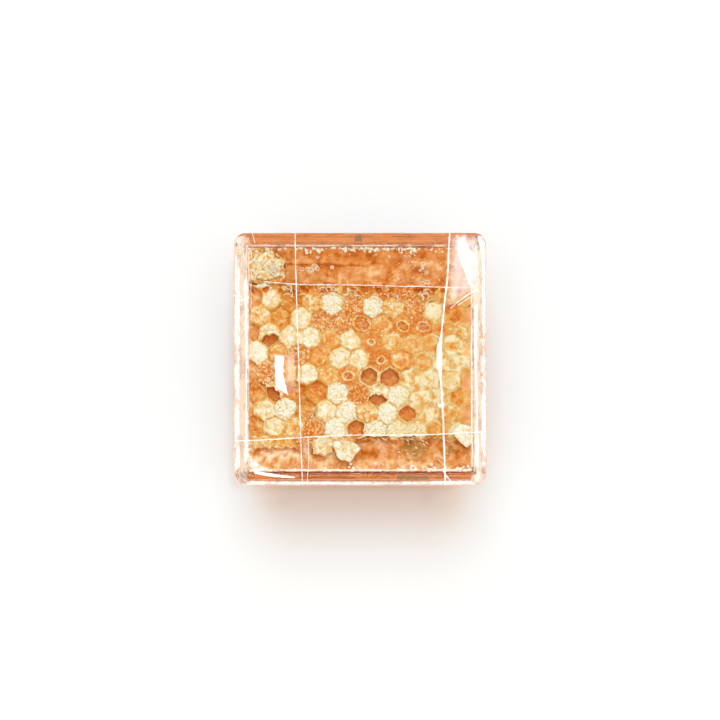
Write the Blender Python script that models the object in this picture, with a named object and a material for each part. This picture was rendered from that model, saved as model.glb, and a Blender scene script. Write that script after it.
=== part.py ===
"""A cut piece of honeycomb lying in its honey, in a square clear plastic box with a push-on lid, wrapped in film.

Metres, +Z up. The origin is where the pack stands, under the middle of the box. The box's sides face X and Y, and
the rows of cells run along X. Half widths are measured from the middle of the box to a flat side.
"""

import math
import random

import bmesh
import bpy
from mathutils import Matrix, Vector

MM = 0.001
GAP = 0.3 * MM  # clear space kept between pieces that touch in the real pack

# Film
FILM_THICK = 0.25 * MM
FILM_EDGE = 0.5 * MM
SEAM_Y = 9 * MM  # the film's ends meet under the box along a seam, which is open between its two ends
SEAM_WIDTH = 0.8 * MM
SEAM_LENGTH = 52 * MM

# Box
CORNER_STEPS = 6
CORNER_RADIUS = 3.2 * MM
LID_HALF = 33.1 * MM
LID_SKIRT = 1.1 * MM
LID_PLATE = 1.2 * MM
LID_PANEL_HALF = 30.4 * MM
LID_PANEL_DEPTH = 0.35 * MM
WALL = 1.7 * MM
WALL_DRAFT = 0.6 * MM  # how much narrower the cavity is at its floor
CAVITY_RADIUS = 0.9 * MM
FLOOR_THICK = 1.25 * MM
FOOT_HEIGHT = 0.6 * MM
FOOT_WIDTH = 3.2 * MM
BEAD_HEIGHT = 0.8 * MM
CHAMFER = 0.35 * MM

FOOT_Z = FILM_THICK + GAP
FLOOR_Z = FOOT_Z + FOOT_HEIGHT + FLOOR_THICK
LID_TOP_Z = 26.0 * MM
PLATE_UNDER_Z = LID_TOP_Z - LID_PLATE
RIM_Z = PLATE_UNDER_Z - GAP
BEAD_Z = 16.2 * MM
SKIRT_Z = BEAD_Z + BEAD_HEIGHT + GAP
RIM_HALF = LID_HALF - LID_SKIRT - GAP
CAVITY_HALF = RIM_HALF - WALL

# Honeycomb: two layers of cells, back to back on a midrib, cut out with a knife that leant over at the back
PITCH = 5.45 * MM
CELL_RADIUS = PITCH / math.sqrt(3)
ROW_STEP = PITCH * math.sqrt(3) / 2
LATTICE_TURN = math.radians(-3.2)
LATTICE_Y = 0.2 * MM
ROW_FAN = -1.6  # the rows draw together towards the east, by this share of their distance for each metre
CELL_WALL = 0.5 * MM
COMB_FLOOR_Z = FLOOR_Z + GAP
COMB_TOP_Z = 23.6 * MM
MIDRIB_Z = 13.2 * MM
MIDRIB_THICK = 0.8 * MM
COMB_WEST, COMB_EAST = -28.4 * MM, 27.8 * MM
COMB_SOUTH_TOP, COMB_NORTH_TOP = -22.1 * MM, 19.4 * MM
COMB_SOUTH_LOW, COMB_NORTH_LOW = -25.0 * MM, 26.0 * MM
CAP_RISE = 0.3 * MM
OPEN_DEPTH = 1.8 * MM
RING_SHARE = 0.5  # the small hole in a cap, and the large one in a broken cap, as shares of the cap's width
BREAK_SHARE = 0.8
UNEVEN = 0.12 * MM

# The whole cells of the upper face, north row first and west cell first. Odd rows have 10 cells and even rows 11.
# C capped, T thinly capped, R capped but for a small hole, B cap half broken away, O open.
CELL_ROWS = (
    "COTCTCTTCO",
    "TOCOTRTRRTT",
    "BCCTCRTTTT",
    "CTTCCCRTTTT",
    "OTCTROOCCC",
    "OBOOCTBCTTO",
    "CBOCCTCOTT",
    "OCTOCOCCCTC",
)
NORTH_ROW = 3
CUT = "X"

# Honey
HONEY_Z = 22.9 * MM

# Loose flakes of capping wax on the honey: name, place, length, width, turn in degrees, corners
FLAKES = (
    ("wax_flake_front", (-3.5 * MM, -25.3 * MM), 7.8 * MM, 5.4 * MM, -8, 5),
    ("wax_flake_middle", (-10.6 * MM, -24.6 * MM), 5.8 * MM, 4.2 * MM, 5, 7),
    ("wax_flake_corner", (-24.8 * MM, 24.5 * MM), 8.8 * MM, 8.0 * MM, -20, 9),
)
FLAKE_THICK = 0.6 * MM
FLAKE_DOME = 0.35 * MM


def clear_scene():
    for thing in list(bpy.data.objects):
        bpy.data.objects.remove(thing, do_unlink=True)


def material(name, colour, roughness, alpha=1.0):
    made = bpy.data.materials.new(name)
    made.use_nodes = True
    shader = made.node_tree.nodes["Principled BSDF"]
    shader.inputs["Base Color"].default_value = (*colour, 1.0)
    shader.inputs["Roughness"].default_value = roughness
    shader.inputs["Metallic"].default_value = 0.0
    shader.inputs["Alpha"].default_value = alpha
    return made


def finish(name, bm, look=None):
    """Makes the named object from bm, with its faces pointing outwards."""
    bmesh.ops.recalc_face_normals(bm, faces=bm.faces)
    mesh = bpy.data.meshes.new(name)
    bm.to_mesh(mesh)
    bm.free()
    thing = bpy.data.objects.new(name, mesh)
    bpy.context.scene.collection.objects.link(thing)
    if look:
        mesh.materials.append(look)
    return thing


def cutter(name, bm):
    thing = finish(name, bm)
    thing.hide_render = True
    thing.display_type = "WIRE"
    return thing


def cut(thing, tool):
    modifier = thing.modifiers.new("cut_" + tool.name, "BOOLEAN")
    modifier.operation = "DIFFERENCE"
    modifier.solver = "EXACT"
    modifier.object = tool


# ---- box and film: rings of a square with round corners, joined from one closed end to the other ----


def rounded_square(half, radius, z):
    points = []
    for corner in range(4):
        middle = Matrix.Rotation(math.radians(90 * corner), 3, "Z") @ Vector((half - radius, half - radius, z))
        for step in range(CORNER_STEPS + 1):
            angle = math.radians(90 * (corner + step / CORNER_STEPS))
            points.append(middle + radius * Vector((math.cos(angle), math.sin(angle), 0)))
    return points


def loft(rings):
    """A closed mesh through rings of (half width, corner radius, height), its first and last ring filled in."""
    bm = bmesh.new()
    loops = [[bm.verts.new(point) for point in rounded_square(*ring)] for ring in rings]
    for loop, after in zip(loops, loops[1:]):
        for i, vert in enumerate(loop):
            bm.faces.new((loop[i - 1], vert, after[i], after[i - 1]))
    bm.faces.new(loops[0])
    bm.faces.new(loops[-1])
    return bm


def outer_radius(half):
    """The corner radius that keeps a wall parallel to the lid's outside."""
    return CORNER_RADIUS - (LID_HALF - half)


def box_base(look):
    wall_low = RIM_HALF - WALL_DRAFT
    foot_out = wall_low - CHAMFER
    foot_in = foot_out - FOOT_WIDTH
    bead_half = LID_HALF - 0.2 * MM
    cavity_low = CAVITY_HALF - WALL_DRAFT
    rings = [
        (foot_in - FOOT_HEIGHT, CAVITY_RADIUS, FOOT_Z + FOOT_HEIGHT),
        (foot_in, CAVITY_RADIUS, FOOT_Z),
        (foot_out, outer_radius(RIM_HALF) - CHAMFER, FOOT_Z),
        (wall_low, outer_radius(RIM_HALF), FOOT_Z + CHAMFER),
        (RIM_HALF, outer_radius(RIM_HALF), BEAD_Z),
        (bead_half, outer_radius(bead_half), BEAD_Z),
        (bead_half, outer_radius(bead_half), BEAD_Z + BEAD_HEIGHT),
        (RIM_HALF, outer_radius(RIM_HALF), BEAD_Z + BEAD_HEIGHT),
        (RIM_HALF, outer_radius(RIM_HALF), RIM_Z - CHAMFER),
        (RIM_HALF - CHAMFER, outer_radius(RIM_HALF) - CHAMFER, RIM_Z),
        (CAVITY_HALF + CHAMFER, CAVITY_RADIUS + CHAMFER, RIM_Z),
        (CAVITY_HALF, CAVITY_RADIUS, RIM_Z - CHAMFER),
        (cavity_low, CAVITY_RADIUS, FLOOR_Z + CAVITY_RADIUS),
        (cavity_low - CAVITY_RADIUS * 0.3, CAVITY_RADIUS * 0.7, FLOOR_Z + CAVITY_RADIUS * 0.3),
        (cavity_low - CAVITY_RADIUS, CAVITY_RADIUS * 0.3, FLOOR_Z),
    ]
    return finish("box_base", loft(rings), look)


def box_lid(look):
    inside = LID_HALF - LID_SKIRT
    edge = 0.5 * MM
    rings = [
        (inside - CHAMFER, outer_radius(inside), PLATE_UNDER_Z),
        (inside, outer_radius(inside), PLATE_UNDER_Z - CHAMFER),
        (inside, outer_radius(inside), SKIRT_Z),
        (LID_HALF, CORNER_RADIUS, SKIRT_Z),
        (LID_HALF, CORNER_RADIUS, LID_TOP_Z - edge),
        (LID_HALF - edge * 0.3, CORNER_RADIUS - edge * 0.3, LID_TOP_Z - edge * 0.3),
        (LID_HALF - edge, CORNER_RADIUS - edge, LID_TOP_Z),
        (LID_PANEL_HALF + LID_PANEL_DEPTH, CAVITY_RADIUS, LID_TOP_Z),
        (LID_PANEL_HALF, CAVITY_RADIUS * 0.6, LID_TOP_Z - LID_PANEL_DEPTH),
    ]
    return finish("box_lid", loft(rings), look)


def film_rings(out):
    """Rings of the film's face that lies this far outside its inner face, from the foot of the box to the top."""
    foot = RIM_HALF - WALL_DRAFT
    side = LID_HALF + GAP
    bend = GAP * 1.5
    inner = (  # half width, height, and how a point there moves to the outer face
        (foot, FILM_THICK, 0.4, -1),
        (foot + bend, FILM_THICK + bend, 1, -0.4),
        (side, BEAD_Z, 1, 0),
        (side, LID_TOP_Z - FILM_EDGE, 1, 0),
        (side - FILM_EDGE, LID_TOP_Z + GAP, 0.4, 1),
    )
    return [(half + wide * out, outer_radius(half) + wide * out, z + up * out) for half, z, wide, up in inner]


def film_wrap(look):
    """Film drawn tight over the lid, down to the foot of the box and under it, with its seam underneath."""
    film = finish("film_wrap", loft(film_rings(FILM_THICK)), look)
    cut(film, cutter("box_space", loft(film_rings(0))))
    seam = bmesh.new()
    bmesh.ops.create_cube(seam, size=1)
    bmesh.ops.scale(seam, verts=seam.verts, vec=(SEAM_LENGTH, SEAM_WIDTH, FILM_THICK * 4))
    bmesh.ops.translate(seam, verts=seam.verts, vec=(0, SEAM_Y, 0))
    cut(film, cutter("film_seam", seam))
    return film


# ---- honeycomb ----


def settle(x, y):
    """Where a point of an even lattice lies in the comb, which is turned a little and whose rows fan out."""
    turned = Matrix.Rotation(LATTICE_TURN, 3, "Z") @ Vector((x, y, 0))
    return Vector((turned.x, turned.y * (1 + ROW_FAN * turned.x) + LATTICE_Y, 0))


def cell_corners(row, column, radius, shift_y=0.0):
    """A cell's six corners. Odd rows stand half a cell to the east of even ones."""
    x = PITCH * (column + 0.5 * (row % 2))
    y = ROW_STEP * row + shift_y
    turns = [math.radians(90 + 60 * k) for k in range(6)]
    return [settle(x + radius * math.cos(a), y + radius * math.sin(a)) for a in turns]


def cells():
    for row in range(-7, 8):
        for column in range(-7, 7):
            yield row, column


def middle(points):
    return sum(points, Vector()) / len(points)


def inside(point, south, north, margin=0.0):
    in_x = COMB_WEST - margin < point.x < COMB_EAST + margin
    return in_x and south - margin < point.y < north + margin


def is_whole(row, column, south, north, shift_y=0.0):
    """False if the knife went through this cell."""
    return all(inside(point, south, north) for point in cell_corners(row, column, CELL_RADIUS * 0.9, shift_y))


def cell_kind(row, column):
    letters = CELL_ROWS[NORTH_ROW - row] if 0 <= NORTH_ROW - row < len(CELL_ROWS) else ""
    place = column + len(CELL_ROWS[-1]) // 2
    return letters[place] if 0 <= place < len(letters) else CUT


def comb_face(bm):
    """The flat upper face, one polygon for each cell. Returns the letter of each face's kind."""
    corners = {}
    letters = {}
    for row, column in cells():
        points = cell_corners(row, column, CELL_RADIUS)
        if not inside(middle(points), COMB_SOUTH_TOP, COMB_NORTH_TOP, PITCH):
            continue
        ring = []
        for point in points:
            key = (round(point.x / (0.2 * MM)), round(point.y / (0.2 * MM)))
            near = [(key[0] + i, key[1] + j) for i in (-1, 0, 1) for j in (-1, 0, 1)]
            found = next((corners[k] for k in near if k in corners), None)
            if found is None:
                found = corners[key] = bm.verts.new((point.x, point.y, COMB_TOP_Z))
            ring.append(found)
        whole = is_whole(row, column, COMB_SOUTH_TOP, COMB_NORTH_TOP)
        letters[bm.faces.new(ring)] = cell_kind(row, column) if whole else CUT
    shake = random.Random(4)
    for vert in bm.verts:
        vert.co.x += shake.uniform(-UNEVEN, UNEVEN)
        vert.co.y += shake.uniform(-UNEVEN, UNEVEN)
    return letters


def trim(bm):
    """Cuts the flat face off along the four knife lines."""
    lines = (
        ((COMB_WEST, 0, 0), (-1, 0, 0)),
        ((COMB_EAST, 0, 0), (1, 0, 0)),
        ((0, COMB_SOUTH_TOP, 0), (0, -1, 0)),
        ((0, COMB_NORTH_TOP, 0), (0, 1, 0)),
    )
    for place, way in lines:
        everything = list(bm.verts) + list(bm.edges) + list(bm.faces)
        bmesh.ops.bisect_plane(bm, geom=everything, plane_co=place, plane_no=way, clear_outer=True)


def lower_outline(point):
    share = (point.y - COMB_SOUTH_TOP) / (COMB_NORTH_TOP - COMB_SOUTH_TOP)
    return COMB_SOUTH_LOW + share * (COMB_NORTH_LOW - COMB_SOUTH_LOW)


def drop_sides(bm):
    """Draws the edge of the face down: leaning out to the midrib, then upright to the floor, and closes it below."""
    for height, leans in ((MIDRIB_Z, True), (COMB_FLOOR_Z, False)):
        rim = [edge for edge in bm.edges if edge.is_boundary]
        made = bmesh.ops.extrude_edge_only(bm, edges=rim)["geom"]
        for vert in (g for g in made if isinstance(g, bmesh.types.BMVert)):
            vert.co = (vert.co.x, lower_outline(vert.co) if leans else vert.co.y, height)
    rim = [edge for edge in bm.edges if edge.is_boundary]
    bmesh.ops.contextual_create(bm, geom=rim)


def step_in(bm, face, share, rise):
    """Raises a smaller copy of the face, drawn in towards its middle to this share of its size, and returns it."""
    made = bmesh.ops.extrude_discrete_faces(bm, faces=[face])["faces"][0]
    centre = made.calc_center_median()
    for vert in made.verts:
        vert.co = centre + share * (vert.co - centre) + Vector((0, 0, rise))
    return made


def shape_cell(bm, face, kind, shake):
    """Gives one whole cell of the upper face its cap, its hole or its open mouth."""
    rise = CAP_RISE * shake.uniform(0.6, 1.3)
    depth = OPEN_DEPTH * shake.uniform(0.7, 1.1)
    if kind == "O":
        face = step_in(bm, face, 1 - CELL_WALL / PITCH, 0)
        step_in(bm, face, 1, -depth)
        return
    face = step_in(bm, face, 0.88, rise)
    if kind in "CT":
        step_in(bm, face, 0.6, rise * 0.6)
        return
    face = step_in(bm, face, RING_SHARE if kind == "R" else BREAK_SHARE, 0)
    step_in(bm, face, 1, -depth)


def unevenness(point):
    """The upper face isn't level: it swells and sinks by a few tenths of a millimetre from end to end."""
    return 0.22 * MM * math.sin(point.x / (7 * MM)) * math.cos(point.y / (9 * MM) + 0.6)


def cut_cells():
    """Cell-shaped cutters along all four sides, which open the cells that the knife went through."""
    bm = bmesh.new()
    above = 3 * MM
    reach = 0.4 * CELL_RADIUS
    upper = (0.0, MIDRIB_Z + MIDRIB_THICK / 2, COMB_TOP_Z + above, COMB_SOUTH_TOP, COMB_NORTH_TOP)
    lower = (CELL_RADIUS, COMB_FLOOR_Z - above, MIDRIB_Z - MIDRIB_THICK / 2, COMB_SOUTH_LOW, COMB_NORTH_LOW)
    for shift_y, low, high, south, north in (upper, lower):
        for row, column in cells():
            points = cell_corners(row, column, CELL_RADIUS - CELL_WALL / 2, shift_y)
            near = inside(middle(points), COMB_SOUTH_LOW, COMB_NORTH_LOW, reach)
            if is_whole(row, column, south, north, shift_y) or not near:
                continue
            ring = [bm.verts.new((point.x, point.y, low)) for point in points]
            made = bmesh.ops.extrude_face_region(bm, geom=[bm.faces.new(ring)])["geom"]
            top = [g for g in made if isinstance(g, bmesh.types.BMVert)]
            bmesh.ops.translate(bm, verts=top, vec=(0, 0, high - low))
    return cutter("cut_cells", bm)


def honeycomb(look):
    bm = bmesh.new()
    kind = bm.faces.layers.int.new("kind")
    for face, letter in comb_face(bm).items():
        face[kind] = ord(letter)
    trim(bm)
    whole = [face for face in bm.faces if chr(face[kind]) != CUT]
    drop_sides(bm)
    shake = random.Random(9)
    for face in whole:
        shape_cell(bm, face, chr(face[kind]), shake)
    for vert in bm.verts:
        if vert.co.z > COMB_TOP_Z - OPEN_DEPTH * 1.5:
            vert.co.z += unevenness(vert.co)
    comb = finish("honeycomb", bm, look)
    cut(comb, cut_cells())
    return comb


# ---- honey and flakes ----


def comb_space():
    """The room that the comb takes in the honey: its outline with a gap all round, open above."""
    bm = bmesh.new()
    lean = GAP * 1.3  # the gap measured along Y where the comb's sides lean
    outlines = (
        (COMB_SOUTH_LOW - GAP, COMB_NORTH_LOW + GAP, COMB_FLOOR_Z - 3 * MM),
        (COMB_SOUTH_LOW - lean, COMB_NORTH_LOW + lean, MIDRIB_Z + GAP),
        (COMB_SOUTH_TOP - lean, COMB_NORTH_TOP + lean, COMB_TOP_Z + GAP),
    )
    loops = []
    for south, north, z in outlines:
        west, east = COMB_WEST - GAP, COMB_EAST + GAP
        loops.append([bm.verts.new(p) for p in ((west, south, z), (east, south, z), (east, north, z), (west, north, z))])
    for loop, after in zip(loops, loops[1:]):
        for i, vert in enumerate(loop):
            bm.faces.new((loop[i - 1], vert, after[i], after[i - 1]))
    bm.faces.new(loops[0])
    bm.faces.new(loops[-1])
    return cutter("comb_space", bm)


def honey(look):
    low = CAVITY_HALF - WALL_DRAFT - GAP
    share = (HONEY_Z - FLOOR_Z) / (RIM_Z - FLOOR_Z)
    top = low + WALL_DRAFT * share
    rings = [
        (low - CAVITY_RADIUS, CAVITY_RADIUS, FLOOR_Z + GAP),
        (low, CAVITY_RADIUS, FLOOR_Z + GAP + CAVITY_RADIUS),
        (top, CAVITY_RADIUS, HONEY_Z),
    ]
    pool = finish("honey", loft(rings), look)
    cut(pool, comb_space())
    return pool


def wax_flake(name, place, length, width, turn, corners, look):
    """A thin chip of wax with a broken outline, slightly crowned, lying on the honey."""
    shake = random.Random(name)
    bm = bmesh.new()
    levels = ((1.0, 0.0), (1.0, FLAKE_THICK), (0.55, FLAKE_THICK + FLAKE_DOME))
    sizes = [shake.uniform(0.78, 1.0) for _ in range(corners)]
    loops = []
    for share, z in levels:
        points = []
        for k, size in enumerate(sizes):
            angle = 2 * math.pi * k / corners
            points.append((share * size * length / 2 * math.cos(angle), share * size * width / 2 * math.sin(angle), z))
        loops.append([bm.verts.new(point) for point in points])
    for loop, after in zip(loops, loops[1:]):
        for i, vert in enumerate(loop):
            bm.faces.new((loop[i - 1], vert, after[i], after[i - 1]))
    bm.faces.new(loops[0])
    bm.faces.new(loops[-1])
    flake = finish(name, bm, look)
    flake.location = (*place, HONEY_Z + GAP)
    flake.rotation_euler = (0, 0, math.radians(turn))
    return flake


def main():
    clear_scene()
    plastic = material("clear polystyrene", (0.95, 0.95, 0.94), 0.05, alpha=0.25)
    film = material("clear film", (0.98, 0.98, 0.98), 0.1, alpha=0.15)
    wax = material("beeswax", (0.93, 0.72, 0.36), 0.5)
    amber = material("honey", (0.86, 0.36, 0.06), 0.08, alpha=0.75)
    box_base(plastic)
    box_lid(plastic)
    film_wrap(film)
    honeycomb(wax)
    honey(amber)
    for flake in FLAKES:
        wax_flake(*flake, wax)


main()
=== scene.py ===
"""Cut honeycomb in honey, in a clear push-lid box wrapped in film: the finish of every piece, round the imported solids.

Metres, +Z up, the box's sides facing X and Y and the rows of cells running along X.
"""

import contextlib
import math
import random

import bmesh
import bpy
from mathutils import Matrix, Vector, noise


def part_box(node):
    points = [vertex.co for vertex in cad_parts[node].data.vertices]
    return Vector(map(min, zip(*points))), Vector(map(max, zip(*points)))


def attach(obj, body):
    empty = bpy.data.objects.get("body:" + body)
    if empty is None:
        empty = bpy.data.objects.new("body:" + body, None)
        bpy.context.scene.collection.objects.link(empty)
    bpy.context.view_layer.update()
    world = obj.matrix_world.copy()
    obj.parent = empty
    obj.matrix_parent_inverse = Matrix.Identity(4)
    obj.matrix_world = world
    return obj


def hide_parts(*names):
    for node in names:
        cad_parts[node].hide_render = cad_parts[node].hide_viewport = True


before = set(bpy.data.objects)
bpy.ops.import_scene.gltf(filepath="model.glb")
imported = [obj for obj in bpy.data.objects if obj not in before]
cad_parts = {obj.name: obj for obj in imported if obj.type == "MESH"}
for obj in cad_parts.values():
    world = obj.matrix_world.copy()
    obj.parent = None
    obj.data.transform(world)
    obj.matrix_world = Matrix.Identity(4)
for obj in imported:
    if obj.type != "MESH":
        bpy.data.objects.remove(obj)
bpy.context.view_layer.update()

MM = 0.001

# Fixes the noise that shapes the pieces, so that each run makes the same ones
NOISE_SEED = 7
noise.seed_set(NOISE_SEED)

# ---- sizes, from the solids of the frame and the walls of the box ----

base_low, base_high = (Vector(corner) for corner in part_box("box_base"))
lid_low, lid_high = (Vector(corner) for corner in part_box("box_lid"))
film_low, film_high = (Vector(corner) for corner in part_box("film_wrap"))
comb_low, comb_high = (Vector(corner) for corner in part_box("honeycomb"))
_, honey_high = (Vector(corner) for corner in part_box("honey"))

CORNER_RADIUS = 3.2 * MM
LID_SKIRT = 1.1 * MM
LID_PLATE = 1.2 * MM
LID_PANEL_HALF = 30.4 * MM
LID_PANEL_DEPTH = 0.35 * MM
LID_GAP = 0.3 * MM
WALL = 1.7 * MM
WALL_DRAFT = 0.6 * MM
CAVITY_RADIUS = 0.9 * MM
FLOOR_THICK = 1.25 * MM
FOOT_HEIGHT = 0.6 * MM
FOOT_WIDTH = 3.2 * MM
BEAD_HEIGHT = 0.8 * MM

RIM_HALF = lid_high.x - LID_SKIRT - LID_GAP
CAVITY_HALF = RIM_HALF - WALL
FOOT_Z = base_low.z
RIM_Z = base_high.z
FLOOR_Z = FOOT_Z + FOOT_HEIGHT + FLOOR_THICK
BEAD_Z = lid_low.z - LID_GAP - BEAD_HEIGHT
LID_TOP_Z = lid_high.z

# The comb's lattice of cells, as the solid has it
PITCH = 5.45 * MM
CELL_RADIUS = PITCH / math.sqrt(3)
ROW_STEP = PITCH * math.sqrt(3) / 2
LATTICE_TURN = math.radians(-3.2)
LATTICE_Y = 0.2 * MM
ROW_FAN = -1.6
CELL_WALL = 0.45 * MM
COMB_TOP_Z = 23.6 * MM
MIDRIB_Z = 13.2 * MM
MIDRIB_THICK = 0.8 * MM
COMB_SOUTH_TOP, COMB_NORTH_TOP = -22.1 * MM, 19.4 * MM

# The cells' tops are made apart from the walls under them: the height of the seams between caps, how deep an open
# cell goes (in millimetres), and where the tops sit in the walls
SEAM_Z = COMB_TOP_Z - 0.15 * MM
PIT = -1.7
TOPS_BASE_Z = SEAM_Z - 2.3 * MM
TOPS_JOIN_Z = SEAM_Z - 2.05 * MM

# How far comb and floating wax keep from the walls of the box
CLEAR_OF_WALL = 0.25 * MM

# Each whole cell of the upper face, north row first and west cell first. Odd rows have 10 cells and even rows 11.
# C cream cap, W white wrinkled cap, P pale grainy cap, T thin tan cap, Y cap sunk in golden honey, G grainy honey,
# R honey with a thin ring of wax, B broken cap, O open cell, H clear honey.
CELL_ROWS = (
    "CPHGPHHGHPH",
    "CHPWGWPGCH",
    "PHCGGRTRRTP",
    "BCCTCRTTTY",
    "CTGTCCRTTYY",
    "GTCTROOYYC",
    "HBHHWGBWYYH",
    "CWHCWPWOYT",
    "HCTGWOWWWTC",
    "PTGCTHHHGT",
)
NORTH_ROW = 4


# ---- modelling ----


def only(thing):
    """Selects one object alone and makes it active."""
    bpy.ops.object.select_all(action="DESELECT")
    thing.select_set(True)
    bpy.context.view_layer.objects.active = thing


@contextlib.contextmanager
def editing(thing):
    """Edit mode with nothing selected."""
    only(thing)
    bpy.ops.object.mode_set(mode="EDIT")
    bpy.ops.mesh.select_mode(type="FACE")
    bpy.ops.mesh.select_all(action="DESELECT")
    yield
    bpy.ops.object.mode_set(mode="OBJECT")


def pick(thing, kind, test):
    """In edit mode, selects the faces or edges that pass the test, and nothing else."""
    bpy.ops.mesh.select_all(action="DESELECT")
    bm = bmesh.from_edit_mesh(thing.data)
    for item in getattr(bm, kind):
        if test(item):
            item.select_set(True)
    bm.select_flush_mode()
    bmesh.update_edit_mesh(thing.data)


def pick_all():
    bpy.ops.mesh.select_all(action="SELECT")


def settled(name):
    """Names the object just added and puts its place into its mesh."""
    thing = bpy.context.object
    thing.name = name
    thing.data.name = name
    only(thing)
    bpy.ops.object.transform_apply(location=True, rotation=True, scale=True)
    return thing


def put(name, data):
    """Puts an object with this curve, lamp or camera into the scene."""
    thing = bpy.data.objects.new(name, data)
    bpy.context.scene.collection.objects.link(thing)
    return thing


def copy_at(thing, place):
    """A copy with a mesh of its own, moved by this matrix."""
    copy = thing.copy()
    copy.data = thing.data.copy()
    copy.data.transform(place)
    bpy.context.scene.collection.objects.link(copy)
    return copy


def apply(thing, kind, **settings):
    """Adds a modifier with these settings and applies it."""
    only(thing)
    modifier = thing.modifiers.new(kind.lower(), kind)
    for key, value in settings.items():
        setattr(modifier, key, value)
    bpy.ops.object.modifier_apply(modifier=modifier.name)


def finish(thing, material, smooth_below=0, flat_faces=False):
    """Gives a piece its material, and smooth shading between faces that meet at less than this angle in degrees.

    With flat_faces, the big flat faces keep their own normals.
    """
    if smooth_below:
        only(thing)
        bpy.ops.object.shade_smooth_by_angle(angle=math.radians(smooth_below))
    if flat_faces:
        apply(thing, "WEIGHTED_NORMAL", keep_sharp=True, weight=100)
    thing.data.materials.clear()
    thing.data.materials.append(material)
    return thing


def write(thing, **layers):
    """Writes what the materials read: for each name, a list with a number for each vertex, or one number for all."""
    for name, value in layers.items():
        layer = thing.data.attributes.new(name, "FLOAT", "POINT")
        count = len(thing.data.vertices)
        layer.data.foreach_set("value", value if isinstance(value, list) else [value] * count)


def join(name, things):
    only(things[0])
    for thing in things:
        thing.select_set(True)
    bpy.ops.object.join()
    things[0].name = name
    things[0].data.name = name
    return things[0]


def extrude(offset):
    bpy.ops.mesh.extrude_region_move(TRANSFORM_OT_translate={"value": offset})


def thicken(height):
    """In edit mode, makes closed blocks of this height from flat faces, with every face pointing outwards."""
    pick_all()
    extrude((0, 0, height))
    pick_all()
    bpy.ops.mesh.normals_make_consistent(inside=False)


def divide(thing, z, cuts):
    """In edit mode, divides the faces that look up at this height finely, each from its own middle."""
    pick(thing, "faces", faces_at(z, 1))
    bpy.ops.mesh.poke()
    bpy.ops.mesh.subdivide(number_cuts=cuts)


def grow(share):
    """Resizes the selection across, about the middle of the box."""
    bpy.ops.transform.resize(value=(share, share, 1), center_override=(0, 0, 0))


def upright(edge):
    a, b = (vert.co for vert in edge.verts)
    return abs(a.z - b.z) > 4 * max(abs(a.x - b.x), abs(a.y - b.y), MM * 0.01)


def faces_at(z, way):
    """A test for the faces that look up (way 1) or down (way -1) at this height."""
    return lambda face: face.normal.z * way > 0.9 and abs(face.calc_center_median().z - z) < 0.05 * MM


def round_block(name, half, low, high, radius, top_half=None):
    """A square block whose upright edges are rounded, and whose sides may lean."""
    bpy.ops.mesh.primitive_cube_add(size=1, location=(0, 0, (low + high) / 2), scale=(2 * half, 2 * half, high - low))
    block = settled(name)
    with editing(block):
        if top_half:
            pick(block, "faces", faces_at(high, 1))
            grow(top_half / half)
        bpy.ops.mesh.select_mode(type="EDGE")
        pick(block, "edges", upright)
        bpy.ops.mesh.bevel(offset=radius, offset_type="OFFSET", segments=10, affect="EDGES")
    return block


def round_off(x, y, half, radius):
    """Draws a point of a square in to the square's rounded corners."""
    far = Vector((max(0, abs(x) - (half - radius)), max(0, abs(y) - (half - radius))))
    if far.x and far.y:
        far *= max(far.x, far.y) / far.length
        x = math.copysign(half - radius + far.x, x)
        y = math.copysign(half - radius + far.y, y)
    return x, y


def new_curve(name, radius, roundness, steps):
    """A round cord to run splines through."""
    curve = bpy.data.curves.new(name, "CURVE")
    curve.dimensions = "3D"
    curve.bevel_depth = radius
    curve.bevel_resolution = roundness
    curve.resolution_u = steps
    return curve


def solid(name, curve):
    thing = put(name, curve)
    only(thing)
    bpy.ops.object.convert(target="MESH")
    return thing


# ---- numbers that vary smoothly ----


def ease(low, high, value):
    """Goes smoothly from 0 at low to 1 at high."""
    share = min(1.0, max(0.0, (value - low) / (high - low)))
    return share * share * (3 - 2 * share)


def squash(value, limit):
    """Draws values near or past a limit back to just inside it, each still in its order."""
    over = value - (limit - MM)
    return value if over < 0 else limit - MM * math.exp(-over / MM)


def peak(value, middle, width):
    """1 at the middle, falling away to both sides."""
    return math.exp(-(((value - middle) / width) ** 2))


def wave(spot, size):
    """Smooth noise between about -1 and 1, whose waves are this many millimetres long."""
    return noise.noise(spot / (size * MM))


def lumpy(spot, size, layers=3):
    """The same with finer waves on top."""
    return noise.fractal(spot / (size * MM), 0.6, 2.1, layers)


def froth(point, size):
    """Domes packed like bubbles of this size, from 0 in the gaps to 1 on top."""
    distances, _ = noise.voronoi(point / size)
    return 1 - min(1.0, distances[0] / 0.62) ** 2


# ---- materials ----


def hue(code):
    """A colour as sRGB hex, turned to the linear values that shaders take."""
    parts = (int(code[i : i + 2], 16) / 255 for i in (0, 2, 4))
    return (*(c / 12.92 if c <= 0.04045 else ((c + 0.055) / 1.055) ** 2.4 for c in parts), 1.0)


def feed(tree, node, links):
    """Gives each input a value, another node's output, or another node, which stands for its first output."""
    for key, value in links.items():
        if isinstance(value, bpy.types.Node):
            value = value.outputs[0]
        if isinstance(value, bpy.types.NodeSocket):
            tree.links.new(value, node.inputs[key])
        else:
            node.inputs[key].default_value = value


def add(tree, kind, links=None, **settings):
    """Adds a node. settings are its own options, and links is what feeds its inputs."""
    node = tree.nodes.new("ShaderNode" + kind)
    for key, value in settings.items():
        setattr(node, key, value)
    feed(tree, node, links or {})
    return node


def new_material(name):
    made = bpy.data.materials.new(name)
    made.use_nodes = True
    tree = made.node_tree
    return made, tree, tree.nodes["Principled BSDF"], tree.nodes["Material Output"]


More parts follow.
